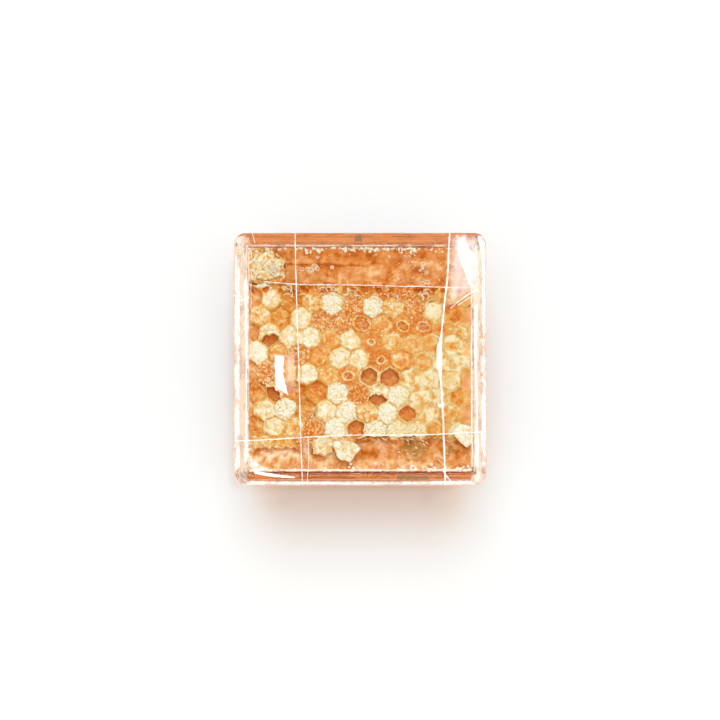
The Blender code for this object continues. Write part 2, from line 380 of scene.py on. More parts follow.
def polystyrene():
    """Clear injection-moulded polystyrene: bright, hard edges and hardly any colour of its own."""
    made, tree, shader, _ = new_material("clear_polystyrene")
    feed(tree, shader, {"Base Color": hue("FFFEFC"), "Roughness": 0.015, "IOR": 1.5, "Transmission Weight": 1.0})
    place = add(tree, "TexCoord").outputs["Object"]
    swirl = add(tree, "TexNoise", {"Vector": place, "Scale": 1 / (9 * MM), "Detail": 1.0})
    bump = add(tree, "Bump", {"Height": swirl, "Strength": 0.04, "Distance": 0.3 * MM})
    feed(tree, shader, {"Normal": bump})
    return made


def clear_film():
    """Thin polypropylene wrapping film: it mirrors a little light, and looks hazy where it is seen edge-on.

    Its amber is painted refraction: the orange of the honey as the clear rim shows it, laid on the north and south.
    """
    made, tree, shader, output = new_material("polypropylene_film")
    tree.nodes.remove(shader)
    # The amber is painted refraction: the honey's orange as the clear rim shows it
    smear = add(tree, "Attribute", attribute_name="smear").outputs["Fac"]
    amber = add(tree, "Mix", {0: smear, 6: hue("FFFFFF"), 7: hue("F2AE54")}, data_type="RGBA").outputs[2]
    clear = add(tree, "BsdfTransparent", {"Color": amber})
    place = add(tree, "TexCoord").outputs["Object"]
    crinkle = add(tree, "TexNoise", {"Vector": place, "Scale": 1 / (5 * MM), "Detail": 3.0})
    bump = add(tree, "Bump", {"Height": crinkle, "Strength": 0.2, "Distance": 0.3 * MM})
    shine = add(tree, "BsdfGlossy", {"Color": hue("FFFFFF"), "Roughness": 0.08, "Normal": bump})
    fresnel = add(tree, "Fresnel", {"IOR": 1.25, "Normal": bump})
    both = add(tree, "MixShader", {0: fresnel, 1: clear, 2: shine})

    haze = add(tree, "Attribute", attribute_name="haze").outputs["Fac"]
    facing = add(tree, "LayerWeight", {"Blend": 0.5}).outputs["Facing"]
    edge_on = add(tree, "Math", {0: facing, 1: 1.6}, operation="POWER")
    weight = add(tree, "Math", {0: edge_on, 1: haze}, operation="MULTIPLY")
    tint = add(tree, "Mix", {0: smear, 6: hue("FFF6EE"), 7: hue("D26F2C")}, data_type="RGBA").outputs[2]
    front = add(tree, "BsdfDiffuse", {"Color": tint})
    through = add(tree, "BsdfTranslucent", {"Color": tint})
    milk = add(tree, "MixShader", {0: 0.15, 1: front, 2: through})
    feed(tree, output, {"Surface": add(tree, "MixShader", {0: weight, 1: both, 2: milk})})
    return made


def film_crease():
    """Film where it is folded sharply, which whitens it."""
    made, tree, shader, _ = new_material("creased_film")
    place = add(tree, "TexCoord").outputs["Object"]
    broken = add(tree, "TexNoise", {"Vector": place, "Scale": 1 / (1.6 * MM), "Detail": 2.0})
    cover = add(tree, "MapRange", {0: broken, 1: 0.38, 2: 0.56, 3: 0.35, 4: 1.0})
    feed(tree, shader, {"Base Color": hue("FFFDFA"), "Roughness": 0.25, "Alpha": cover})
    return made


def doubled_film_and_painted_light():
    """Strips on the film, clear at their edges: doubled film, whitened where its layers are pulled apart, and painted
    light.

    The painted light is glare that the film mirrors, and the pale strips, white highlight lines and orange
    refracted honey of the clear rim. warm takes its colour from white at 0 through peach, at 1, and painted honey
    orange, at 2, to dark wax at 3.
    """
    made, tree, shader, _ = new_material("doubled_film_and_painted_light")
    warm = add(tree, "Attribute", attribute_name="warm").outputs["Fac"]
    tint, share = hue("FFFDFB"), warm
    for step, code in enumerate(("FADCBC", "DC863C", "7C5A32")):
        if step:
            share = add(tree, "Math", {0: warm, 1: float(step)}, operation="SUBTRACT", use_clamp=True)
        tint = add(tree, "Mix", {0: share, 6: tint, 7: hue(code)}, data_type="RGBA").outputs[2]
    veil = add(tree, "Attribute", attribute_name="veil").outputs["Fac"]
    feed(tree, shader, {"Base Color": tint, "Roughness": 0.25, "Alpha": veil})
    return made


def honey_look():
    """Clear honey: amber where it is deep and pale where it is thin, under a wet skin.

    Shadow and diffuse rays pass straight through its skin, so that light reaches the comb.
    """
    made, tree, shader, output = new_material("amber_honey")
    place = add(tree, "TexCoord").outputs["Object"]
    ripple = add(tree, "TexNoise", {"Vector": place, "Scale": 1 / (2.2 * MM), "Detail": 3.0})
    bump = add(tree, "Bump", {"Height": ripple, "Strength": 0.08, "Distance": 0.25 * MM})
    wet = {"Base Color": hue("FFFFFF"), "Roughness": 0.03, "IOR": 1.5, "Transmission Weight": 1.0, "Normal": bump}
    feed(tree, shader, wet)
    rays = add(tree, "LightPath").outputs
    lamps = add(tree, "Math", {0: rays["Is Shadow Ray"], 1: rays["Is Diffuse Ray"]}, operation="MAXIMUM")
    clear = add(tree, "BsdfTransparent", {"Color": hue("FFFFFF")})
    skin = add(tree, "MixShader", {0: lamps, 1: shader, 2: clear})
    depth = add(tree, "VolumeAbsorption", {"Color": hue("F8BF53"), "Density": 70.0})
    feed(tree, output, {"Surface": skin, "Volume": depth})
    return made


# From soaked with honey to dry
CAP_COLOURS = ("CA660E", "D6862A", "DAA350", "DABD88", "E6DCC6")
FLOAT_COLOURS = ("B85E22", "D28640", "DFA26A", "ECC492", "F5DEC0")


def wax(name, shine, glow, colours=CAP_COLOURS):
    """Beeswax: its tone runs from honey-soaked brown to cream, and its grain is the mottling of dry cappings.

    shine is how glossy it is (none under the honey), and glow how much light passes into it.
    """
    made, tree, shader, _ = new_material(name)
    place = add(tree, "TexCoord").outputs["Object"]
    tone, grain, gold, stain = (
        add(tree, "Attribute", attribute_name=layer).outputs["Fac"] for layer in ("tone", "grain", "gold", "stain")
    )
    broad = add(tree, "TexNoise", {"Vector": place, "Scale": 1 / (2.4 * MM), "Detail": 2.0})
    fine = add(tree, "TexNoise", {"Vector": place, "Scale": 1 / (0.45 * MM), "Detail": 2.0})
    foam = add(tree, "TexVoronoi", {"Vector": place, "Scale": 1 / (0.72 * MM)})
    skin = add(tree, "MapRange", {0: foam, 1: 0.2, 2: 0.38, 3: 0.0, 4: 1.0}, interpolation_type="SMOOTHSTEP")
    gap = add(tree, "MapRange", {0: foam, 1: 0.38, 2: 0.56, 3: 1.0, 4: 0.0}, interpolation_type="SMOOTHSTEP")
    rings = add(tree, "Math", {0: skin, 1: gap}, operation="MULTIPLY")
    bright = add(tree, "Math", {0: rings, 1: 0.7, 2: -0.8}, operation="MULTIPLY_ADD")
    level = add(tree, "Math", {0: fine, 1: 1.1, 2: bright}, operation="MULTIPLY_ADD")
    speckled = add(tree, "Math", {0: level, 1: grain}, operation="MULTIPLY")
    cloud = add(tree, "Math", {0: broad, 1: -0.5}, operation="ADD")
    step = add(tree, "Math", {0: cloud, 1: 0.45, 2: tone}, operation="MULTIPLY_ADD")
    total = add(tree, "Math", {0: speckled, 1: 0.9, 2: step}, operation="MULTIPLY_ADD")
    ramp = add(tree, "ValToRGB", {"Fac": total})
    stops = ramp.color_ramp.elements
    stops.remove(stops[1])
    for i, code in enumerate(colours):
        stop = stops.new(i / 4) if i else stops[0]
        stop.color = hue(code)
    sunlit = {0: gold, 6: ramp.outputs["Color"], 7: hue("FCF0C8")}
    tint = add(tree, "Mix", sunlit, data_type="RGBA", blend_type="MULTIPLY").outputs[2]
    stained = add(tree, "Mix", {0: stain, 6: tint, 7: hue("9A7C3E")}, data_type="RGBA").outputs[2]
    bump = add(tree, "Bump", {"Height": total, "Strength": 0.6, "Distance": 0.12 * MM})
    feed(tree, shader, {"Base Color": stained, "Normal": bump, "Roughness": 0.3, "IOR": 1.44})
    feed(tree, shader, {"Specular IOR Level": shine, "Subsurface Weight": glow})
    feed(tree, shader, {"Subsurface Radius": (1.0, 0.7, 0.4), "Subsurface Scale": 0.8 * MM})
    return made


# ---- the box ----


def carve(thing, tool):
    apply(thing, "BOOLEAN", object=tool, operation="DIFFERENCE", solver="EXACT")
    bpy.data.objects.remove(tool)


def tray(material):
    """The open half of the box: a foot, leaning walls, a bead where the lid stops, and a rounded rim."""
    wall_low = RIM_HALF - WALL_DRAFT
    radius = CORNER_RADIUS - (lid_high.x - RIM_HALF)
    box = round_block("clear_tray", wall_low, FOOT_Z, RIM_Z, radius, RIM_HALF)
    with editing(box):
        for z in (BEAD_Z, BEAD_Z + BEAD_HEIGHT):
            pick_all()
            bpy.ops.mesh.bisect(plane_co=(0, 0, z), plane_no=(0, 0, 1))
        middle = BEAD_Z + BEAD_HEIGHT / 2
        pick(box, "faces", lambda face: abs(face.calc_center_median().z - middle) < 0.1 * MM)
        extrude((0, 0, 0))
        bpy.ops.transform.shrink_fatten(value=lid_high.x - 0.2 * MM - RIM_HALF)
    lean = WALL_DRAFT / (RIM_Z - FOOT_Z)
    floor_half = CAVITY_HALF - (RIM_Z - FLOOR_Z) * lean
    carve(box, round_block("cavity", floor_half, FLOOR_Z, RIM_Z + MM, CAVITY_RADIUS, CAVITY_HALF + MM * lean))
    carve(box, round_block("recess", wall_low - FOOT_WIDTH, FOOT_Z - MM, FOOT_Z + FOOT_HEIGHT, CAVITY_RADIUS))
    apply(box, "BEVEL", width=0.28 * MM, segments=3, limit_method="ANGLE", angle_limit=math.radians(50))
    return finish(box, material, 40, flat_faces=True)


def lid(material):
    """The lid: a flat plate with a shallow sunk panel, and a skirt that slides over the tray's walls."""
    cover = round_block("clear_lid", lid_high.x, lid_low.z, LID_TOP_Z, CORNER_RADIUS)
    with editing(cover):
        pick(cover, "faces", faces_at(lid_low.z, -1))
        bpy.ops.mesh.inset(thickness=LID_SKIRT)
        extrude((0, 0, LID_TOP_Z - LID_PLATE - lid_low.z))
        pick(cover, "faces", faces_at(LID_TOP_Z, 1))
        bpy.ops.mesh.inset(thickness=lid_high.x - LID_PANEL_HALF - LID_PANEL_DEPTH)
        extrude((0, 0, -LID_PANEL_DEPTH))
        grow(LID_PANEL_HALF / (LID_PANEL_HALF + LID_PANEL_DEPTH))
    apply(cover, "BEVEL", width=0.25 * MM, segments=3, limit_method="ANGLE", angle_limit=math.radians(35))
    return finish(cover, material, 40, flat_faces=True)


# ---- film ----


def block_of_squares(name, cuts):
    """A cube two metres wide, to be drawn to shape, with its faces divided into squares."""
    bpy.ops.mesh.primitive_cube_add(size=2, location=(0, 0, 0))
    block = settled(name)
    with editing(block):
        pick_all()
        bpy.ops.mesh.subdivide(number_cuts=cuts)
    return block


def film(material):
    """Film drawn over the lid and down to the foot, with a faint ripple over its top."""
    wrap = block_of_squares("clear_film", 71)
    side = film_high.x - 0.15 * MM
    foot = RIM_HALF - WALL_DRAFT + 0.4 * MM
    for vert in wrap.data.vertices:
        u, v, w = vert.co
        if w > 0:
            z = BEAD_Z + (film_high.z - 0.15 * MM - BEAD_Z) * min(1, w * 1.6 if w < 0.6 else 0.96 + 0.1 * (w - 0.6))
        else:
            z = BEAD_Z + (BEAD_Z - film_low.z - 0.05 * MM) * max(-1, w * 1.2)
        half = side if w > 0 else foot + (side - foot) * max(0, 1 + w * 1.2)
        edge = 1 - 0.35 * max(0.0, abs(w) - 0.94) / 0.06 * 0.03
        vert.co = (*round_off(u * half * edge, v * half * edge, half, CORNER_RADIUS), z)
    hazes, smears = [], []
    for vert in wrap.data.vertices:
        x, y, z = vert.co
        on_top = z > film_high.z - 0.4 * MM
        if on_top:
            vert.co.z += 0.06 * MM * wave(vert.co, 6)
        on_end = abs(y) > abs(x)
        streak = 0.25 * wave(Vector((x, y, z / 3)), 4)
        hazes.append(0.0 if on_top else (0.95 + streak if on_end else 1.0))
        # Amber on the north and south ends and over the rim is painted refraction: the honey's orange as the clear rim
        # shows it
        south = 0.9 * ease(11 * MM, 8 * MM, z) + streak
        if on_top:
            north_edge = ease(29.4 * MM, 30.0 * MM, y) * ease(33.4 * MM, 33.0 * MM, y)
            south_edge = ease(-30.0 * MM, -30.6 * MM, y) * ease(-32.4 * MM, -31.9 * MM, y)
            over_honey = ease(31.2 * MM, 30.0 * MM, abs(x))
            smears.append((0.3 * north_edge + 0.4 * south_edge) * over_honey + 0.5 * streak * north_edge)
        else:
            north = (0.95 + streak) * (0.35 + 0.65 * ease(6 * MM, 18 * MM, z))
            smears.append((north if y > 0 else south) if on_end else 0.06)
    write(wrap, haze=hazes, smear=smears)
    return finish(wrap, material, 60)


# Where the film is creased across its top: how wide, and the points it passes, in millimetres from the box's middle
CREASES = (
    ("crease_west", 0.24, ((-17.3, 33.4), (-16.9, 18.5), (-16.1, -5.3), (-15.7, -20.4), (-15.2, -33.4))),
    (
        "crease_east",
        0.42,
        ((23.8, 33.4), (22.9, 18.5), (22.1, 12.2), (21.4, 4.2), (21.4, -4.2), (22.1, -18.3), (22.6, -33.4)),
    ),
    ("crease_north", 0.16, ((-25.4, 20.5), (-16.0, 19.8), (-4.0, 19.7), (12.3, 19.3), (23.7, 19.0), (29.2, 19.0))),
    (
        "crease_south",
        0.24,
        ((-33.4, -21.8), (-23.9, -21.4), (-12.0, -20.6), (-2.8, -20.2), (13.1, -20.2), (33.4, -19.3)),
    ),
    ("crease_north_west", 0.3, ((-33.4, 16.9), (-31.6, 15.5), (-30.9, 15.7), (-29.4, 16.6))),
    ("crease_pinch", 0.22, ((-31.9, 17.0), (-31.2, 15.6), (-31.5, 14.2))),
    ("crease_slant_long", 0.26, ((31.2, 18.6), (27.6, 16.4), (24.0, 13.4))),
    ("crease_slant_short", 0.2, ((30.6, 17.4), (28.4, 15.9), (26.0, 14.2))),
    ("crease_slant_low", 0.16, ((31.6, 18.0), (29.6, 17.6), (26.8, 15.6))),
    ("crease_far_west", 0.2, ((-28.6, 33.3), (-28.2, 32.0), (-27.9, 31.0))),
    ("crease_south_east", 0.3, ((21.8, -29.2), (22.7, -30.8), (24.0, -32.4))),
    ("crease_faint_west", 0.14, ((-13.8, -20.6), (-13.6, -25.2), (-13.9, -33.2))),
    ("crease_edge_east", 0.2, ((29.6, 9.0), (29.5, 2.0), (29.7, -6.0), (29.5, -18.0), (29.9, -26.0))),
)


def crease(name, width, points, material):
    """A thin pinched ridge of film that follows these points over the top, and down each side that it reaches."""
    curve = new_curve(name, width / 2 * MM, 2, 6)
    spline = curve.splines.new("BEZIER")
    spline.bezier_points.add(len(points) - 1)
    for knot, (x, y) in zip(spline.bezier_points, points):
        knot.co = (x * MM, y * MM, film_high.z - 0.04 * MM)
        knot.handle_left_type = knot.handle_right_type = "AUTO"
    for point in (points[0], points[-1]):
        if max(map(abs, point)) < 33:
            continue
        down = curve.splines.new("POLY")
        down.points.add(3)
        along_x = abs(point[0]) > 33
        steps = ((33.25, film_high.z - 0.3 * MM), (33.5, film_high.z - 0.9 * MM), (33.5, BEAD_Z), (31.4, 0.5 * MM))
        for dot, (far, z) in zip(down.points, steps):
            out = math.copysign(far * MM, point[0] if along_x else point[1])
            dot.co = (out, point[1] * MM, z, 1) if along_x else (point[0] * MM, out, z, 1)
    ridge = solid(name, curve)
    for vert in ridge.data.vertices:
        vert.co.x += 0.12 * MM * wave(vert.co, 4)
        vert.co.y += 0.12 * MM * noise.noise(vert.co / (4 * MM) + Vector((7, 3, 1)))
        if vert.co.z > film_high.z - 0.3 * MM:
            vert.co.z = film_high.z - 0.04 * MM + (vert.co.z - film_high.z + 0.04 * MM) * 0.5
    return finish(ridge, material, 180)


def eastward(y, reach, bow=0.0):
    """A line from west to east at this y, which may bow a little in the middle."""
    return (-reach, y), (0.0, y + bow), (reach, y)


def southward(x, reach, bow=0.0):
    """A line from north to south at this x, which may bow a little in the middle."""
    return (x, reach), (x + bow, 0.0), (x, -reach)


# Strips on the film, doubled film and painted light: how white each gets, how far its edges fade (in millimetres), how
# patchy and how warm it is (1 is peach, 2 is painted honey orange, 3 has dark wax), and its two long edges from one end
# to the other, in millimetres from the middle of the box
FILM_STRIPS = (
    # These five rim strips are painted light seen through the clear rim: pale peach at the west, east and south, and at
    # warm 2 the honey's orange, refracted in the north and south rims
    ("rim_west", 0.56, 0.4, 0.45, 1.0, southward(-33.5, 30.8, -0.1), southward(-29.5, 30.8)),
    ("rim_east", 0.54, 0.4, 0.5, 1.0, southward(29.8, 30.8), southward(33.5, 30.8, 0.1)),
    ("rim_south", 0.5, 0.3, 0.3, 0.9, eastward(-32.1, 31.5, -0.1), eastward(-33.6, 31.5)),
    ("rim_south_inner", 0.55, 0.3, 0.5, 2.0, eastward(-30.4, 30.5), eastward(-32.3, 30.5)),
    ("rim_north", 0.5, 0.4, 0.4, 2.0, eastward(30.6, 31.5), eastward(33.6, 31.5)),
    # The next four strips are painted glare: light that the film mirrors, painted white
    (
        *("fold_north_east", 0.42, 2.5, 0.25, 0.0),
        ((23.6, 33.3), (23.1, 24.0), (22.8, 13.0)),
        ((31.2, 33.3), (32.6, 26.0), (31.4, 17.8)),
    ),
    (
        *("glare_north_east", 1.0, 1.3, 0.0, 0.0),
        ((25.3, 33.4), (25.6, 27.4), (27.6, 22.0), (28.7, 18.6)),
        ((28.4, 33.4), (29.5, 29.7), (30.2, 25.0), (30.1, 18.6)),
    ),
    (
        *("blister_west", 1.0, 0.25, 0.0, 0.0),
        ((-22.7, 1.1), (-22.6, -3.5), (-22.3, -7.6)),
        ((-20.0, 0.9), (-20.2, -4.2), (-18.8, -9.9)),
    ),
    (
        *("blister_east", 1.0, 0.3, 0.5, 0.0),
        ((21.3, 6.7), (20.3, 3.0), (20.2, -1.0), (20.9, -4.6)),
        ((22.0, 6.5), (21.9, 3.0), (21.8, -1.0), (21.8, -4.7)),
    ),
    (
        *("milky_west", 0.42, 1.4, 0.5, 0.7),
        ((-20.2, 2.0), (-20.4, -4.0), (-19.4, -9.6)),
        ((-17.0, 2.4), (-16.6, -4.0), (-16.8, -9.6)),
    ),
    # These two strips are painted glare as well
    ("blister_small", 1.0, 0.3, 0.3, 0.0, ((20.5, -11.9), (20.9, -13.0)), ((21.8, -11.6), (21.8, -13.2))),
    (
        *("streak_south_west", 1.0, 0.25, 0.15, 0.0),
        ((-28.4, -29.4), (-24.0, -30.2), (-17.0, -31.2)),
        ((-27.8, -30.5), (-23.2, -31.3), (-17.2, -31.7)),
    ),
    (
        *("fold_south_west", 0.9, 1.6, 0.5, 0.0),
        ((-29.9, -25.0), (-30.0, -27.6), (-29.8, -30.2)),
        ((-29.0, -25.2), (-26.0, -28.0), (-21.6, -30.2)),
    ),
    ("veil_south_west", 0.35, 0.5, 0.5, 0.8, ((-15.5, -20.8), (-15.2, -25.4)), ((-13.6, -20.9), (-13.6, -25.2))),
    # From here the strips along the rim, all but the two dark marks, are painted light: white highlight lines and pale
    # strips of the clear rim
    (
        *("edge_north_west", 0.9, 0.4, 0.7, 0.0),
        ((-33.2, 28.0), (-33.3, 8.0), (-33.3, -12.0), (-33.1, -30.0)),
        ((-31.9, 27.0), (-31.8, 8.0), (-31.9, -12.0), (-31.7, -29.0)),
    ),
    (
        *("edge_west", 1.0, 0.2, 0.4, 0.0),
        ((-30.7, 21.0), (-30.6, 8.0), (-30.3, -8.0), (-30.6, -28.0)),
        ((-29.9, 23.0), (-29.7, 8.0), (-29.8, -8.0), (-29.6, -27.0)),
    ),
    (
        *("edge_east", 1.0, 0.25, 0.4, 0.0),
        ((30.3, 14.0), (30.2, 2.0), (30.6, -12.0), (30.3, -29.0)),
        ((31.3, 15.0), (31.1, 2.0), (31.3, -12.0), (31.5, -29.0)),
    ),
    (
        *("edge_far_east", 0.9, 0.4, 0.7, 0.0),
        ((32.2, 29.0), (32.3, 12.0), (32.1, -8.0), (32.0, -29.0)),
        ((33.4, 29.5), (33.3, 12.0), (33.4, -8.0), (33.3, -30.0)),
    ),
    ("corner_north_east", 1.0, 0.3, 0.9, 0.0, ((31.0, 32.9), (32.2, 27.5)), ((32.4, 32.6), (33.4, 27.0))),
    (
        *("edge_inner_north", 0.4, 0.3, 0.9, 1.0),
        ((-29.8, 30.6), (-4.0, 30.5), (23.4, 30.5)),
        ((-29.8, 29.7), (-4.0, 29.7), (23.4, 29.7)),
    ),
    (
        *("edge_outer_north", 0.4, 0.3, 0.3, 0.8),
        ((-31.5, 33.6), (-4.0, 33.6), (23.4, 33.6)),
        ((-31.5, 33.1), (-4.0, 33.2), (23.4, 33.1)),
    ),
    ("edge_inner_south", 0.6, 0.3, 0.7, 0.6, eastward(-29.0, 29.5, -0.1), eastward(-29.9, 29.5)),
    ("edge_inner_west", 0.8, 0.25, 0.4, 0.9, southward(-29.9, 29.0), southward(-29.3, 29.0)),
    ("edge_inner_east", 0.75, 0.25, 0.45, 0.9, southward(29.3, 29.0), southward(30.0, 29.0)),
    ("mark_north", 0.8, 0.3, 0.0, 3.0, ((-1.6, 33.0), (0.8, 33.0)), ((-1.6, 31.0), (0.8, 31.0))),
    ("stain_south", 0.75, 0.8, 0.3, 3.0, ((9.4, -30.5), (18.6, -30.5)), ((9.4, -32.3), (18.6, -32.3))),
    (
        *("edge_south", 0.8, 0.5, 0.35, 0.0),
        ((-30.0, -32.2), (-10.0, -32.5), (10.0, -32.4), (30.5, -32.0)),
        ((-30.5, -33.4), (-10.0, -33.4), (10.0, -33.4), (30.5, -33.4)),
    ),
)

# The strip of painted peach light over the lid's north-east corner, in the same order, and which way it is mirrored for
# each corner
CORNER_LOOK = (0.75, 0.9, 0.35, 0.7)
CORNER_OUTER = ((29.0, 33.5), (31.8, 33.2), (33.2, 31.8), (33.5, 29.0))
CORNER_INNER = ((29.0, 30.4), (30.0, 30.4), (30.4, 30.0), (30.4, 29.0))
CORNERS = (("north_east", 1, 1), ("north_west", -1, 1), ("south_west", -1, -1), ("south_east", 1, -1))

# The warmth from which a strip is a dark mark, which lies higher than the other warm ones so that it shows
DARK = 3


def corner_strips():
    for name, a, b in CORNERS:
        lines = (CORNER_OUTER, CORNER_INNER) if a * b < 0 else (CORNER_INNER, CORNER_OUTER)
        yield "veil_corner_" + name, *CORNER_LOOK, *([(x * a, y * b) for x, y in line] for line in lines)


def along(points, share):
    """The point at this share, from 0 to 1, of a smooth line through these points."""
    place = min(share * (len(points) - 1), len(points) - 1.001)
    i, t = int(place), place - int(place)
    a, b, c, d = (Vector(points[max(0, min(len(points) - 1, k))]) for k in (i - 1, i, i + 1, i + 2))
    return 0.5 * (2 * b + (c - a) * t + (2 * a - 5 * b + 4 * c - d) * t**2 + (3 * b - a - 3 * c + d) * t**3)


def film_strip(name, white, fade, patchy, warm, left, right, material):
    """A strip between two lines on the film, whether doubled film or painted light, a hair above the rest or, where it
    is warm, a hair below.
    """
    length = (Vector(left[0]) - Vector(left[-1])).length
    along_x = abs(left[0][0] - left[-1][0]) > abs(left[0][1] - left[-1][1])
    rows = max(16, int(length * 4))
    bpy.ops.mesh.primitive_grid_add(x_subdivisions=12, y_subdivisions=rows, size=1, location=(0, 0, 0))
    strip = settled(name)
    z = film_high.z + (0.05 if not warm else -0.06 if warm < DARK else 0.03) * MM
    veils = []
    for vert in strip.data.vertices:
        across, down = vert.co.x + 0.5, 0.5 - vert.co.y
        a, b = along(left, down), along(right, down)
        spot = a.lerp(b, across)
        width = (b - a).length
        inside = min(across * width, (1 - across) * width, min(down, 1 - down) * length / (6 if length > 40 else 2))
        waver = noise.noise(Vector((spot.x, spot.y, 0)) / 0.9) * 0.6 * min(fade, 0.6)
        cloud = Vector((spot.x / 3, spot.y, 5) if along_x else (spot.x, spot.y / 3, 5)) / 1.6
        clouds = 1 - patchy * ease(-0.1, 0.35, noise.fractal(cloud, 0.6, 2.1, 3))
        veils.append(white * clouds * ease(0, fade, inside + waver * (inside > 0.02)))
        vert.co = (spot.x * MM, spot.y * MM, z)
    write(strip, veil=veils, warm=warm)
    return finish(strip, material, 180)


# ---- comb ----


def settle(x, y):
    """Where a point of an even lattice lies in the comb, which is turned a little and whose rows fan out."""
    turned = Matrix.Rotation(LATTICE_TURN, 3, "Z") @ Vector((x, y, 0))
    return Vector((turned.x, turned.y * (1 + ROW_FAN * turned.x) + LATTICE_Y, 0))


def flat_centre(row, column, shift_y=0.0):
    return Vector((PITCH * (column + 0.5 * (row % 2)), ROW_STEP * row + shift_y, 0))


def cell_letter(row, column):
    """The kind of a cell: E at the two ends of a row, crushed and full of honey, and X outside the comb."""
    if not 0 <= NORTH_ROW - row < len(CELL_ROWS):
        return "X"
    letters = CELL_ROWS[NORTH_ROW - row]
    place = column + 5
    if 0 <= place < len(letters):
        return letters[place]
    return "E" if -1 <= place <= len(letters) else "X"


def cells_of(letters):
    for row in range(NORTH_ROW, NORTH_ROW - len(CELL_ROWS), -1):
        for column in range(-6, 7):
            if cell_letter(row, column) in letters:
                yield row, column


def nearest_cell(point):
    """The cell that a point of the even lattice lies in."""
    middle = round(point.y / ROW_STEP)
    near = [(row, round(point.x / PITCH - 0.5 * (row % 2))) for row in (middle - 1, middle, middle + 1)]
    flat = Vector((point.x, point.y, 0))
    return min(near, key=lambda cell: (flat_centre(*cell) - flat).length)


def hexagons(name, cells, radius, z, shift_y=0.0):
    """Flat six-sided faces, one in each cell, still on the even lattice."""
    bpy.ops.mesh.primitive_circle_add(vertices=6, radius=radius, fill_type="NGON", location=(0, 0, 0))
    first = settled(name)
    places = [Matrix.Translation(flat_centre(*cell, shift_y) + Vector((0, 0, z))) for cell in cells]
    copies = [copy_at(first, place) for place in places[1:]]
    first.data.transform(places[0])
    return join(name, [first] + copies)


def outline_at(z):
    """The comb's sides at this height: west, east, south and north."""
    share = min(1.0, max(0.0, (COMB_TOP_Z - z) / (COMB_TOP_Z - MIDRIB_Z)))
    south = COMB_SOUTH_TOP + (comb_low.y - COMB_SOUTH_TOP) * share
    north = COMB_NORTH_TOP + (comb_high.y - COMB_NORTH_TOP) * share
    return comb_low.x, comb_high.x, south, north


def comb_block():
    """The comb's outline: a block whose north and south sides lean out down to the midrib."""
    bpy.ops.mesh.primitive_cube_add(size=1, location=(0, 0, 0))
    block = settled("comb_walls")
    for vert in block.data.vertices:
        z = TOPS_JOIN_Z if vert.co.z > 0 else MIDRIB_Z
        west, east, south, north = outline_at(z)
        vert.co = (west if vert.co.x < 0 else east, south if vert.co.y < 0 else north, z)
    with editing(block):
        pick(block, "faces", lambda face: face.calc_center_median().z < MIDRIB_Z + 0.1 * MM)
        extrude((0, 0, comb_low.z - MIDRIB_Z))
    return block


def crosses(row, column, shift_y, z):
    """Whether a side of the comb cuts through this cell at this height."""
    west, east, south, north = outline_at(z)
    spot = settle(*flat_centre(row, column, shift_y).xy)
    return -CELL_RADIUS < min(spot.x - west, east - spot.x, spot.y - south, north - spot.y) < CELL_RADIUS


def comb_walls(material):
    """The wax of the comb: two layers of cells, back to back on a midrib, cut through at its four sides.

    Only the cells that a side cuts through are hollow.
    """
    block = comb_block()
    layers = (
        (0.0, COMB_TOP_Z, MIDRIB_Z + MIDRIB_THICK / 2, COMB_TOP_Z + 3 * MM),
        (CELL_RADIUS, MIDRIB_Z, comb_low.z - 3 * MM, MIDRIB_Z - MIDRIB_THICK / 2),
    )
    for shift_y, cut_z, low, high in layers:
        around = ((row, column) for row in range(-7, 8) for column in range(-7, 7))
        cut = [cell for cell in around if crosses(*cell, shift_y, cut_z)]
        prisms = hexagons("cell_cutter", cut, CELL_RADIUS - CELL_WALL / math.sqrt(3), low, shift_y)
        with editing(prisms):
            thicken(high - low)
        for vert in prisms.data.vertices:
            spot = settle(vert.co.x, vert.co.y)
            if shift_y == 0:
                row = nearest_cell(vert.co * 0.999)[0]
                side = 3 if row > 0 else 2
                lean = outline_at(vert.co.z)[side] - outline_at(COMB_TOP_Z)[side]
                spot.y += lean if abs(row + 0.5) > 4 else 0
            vert.co = (spot.x, spot.y, vert.co.z)
        carve(block, prisms)
    tones = []
    for vert in block.data.vertices:
        paler = ease(-13 * MM, -9 * MM, vert.co.x) * ease(3 * MM, 0, vert.co.x)
        tones.append(0.52 + 0.22 * paler)
    write(block, tone=tones, grain=0.3, gold=0.0)
    return finish(block, material)


def edge_share(away):
    """How far a point lies from its cell's centre, from 0 to 1 at the cell's six sides."""
    ways = [math.radians(angle) for angle in (0, 60, 120)]
    return max(abs(away.x * math.cos(way) + away.y * math.sin(way)) for way in ways) / (PITCH / 2)


def cap_rise(cell, away, spot, size):
    """1 on a cap and 0 in the seam round it. A cap is rounder than its cell, and its edge wavers."""
    shake = random.Random(cell[0] * 57 + cell[1])
    shifted = away + Vector((shake.uniform(-0.22, 0.22), shake.uniform(-0.22, 0.22), 0)) * MM
    reach = size + shake.uniform(-0.13, 0.06) + 0.16 * wave(spot, 1.3)
    bridge = 0.9 * ease(0.05, 0.4, noise.noise(spot / (1.9 * MM) + Vector((5, 0, 0))))
    out = 0.5 * edge_share(shifted) + 0.46 * shifted.length / (PITCH / 2)
    return max(bridge, ease(reach + 0.14, reach - 0.14, out))


# Each kind of cell top below takes a cell, how far out in it a point lies, the point's offset from the cell's centre,
# and its place in the comb. It gives the point's height in millimetres over the seam, tone, grain and gold.


def smooth_cap(cell, share, away, spot):
    """Cream wax, closed and dry, with a faint ring."""
    up = cap_rise(cell, away, spot, 0.94)
    lumps = lumpy(spot, 1.5)
    ring = peak(share, 0.62, 0.12)
    height = (0.22 - 0.04 * ring + 0.06 * lumps) * up
    return height, 0.4 + 0.52 * up - 0.08 * ring + 0.25 * lumps, 0.4, 0.0


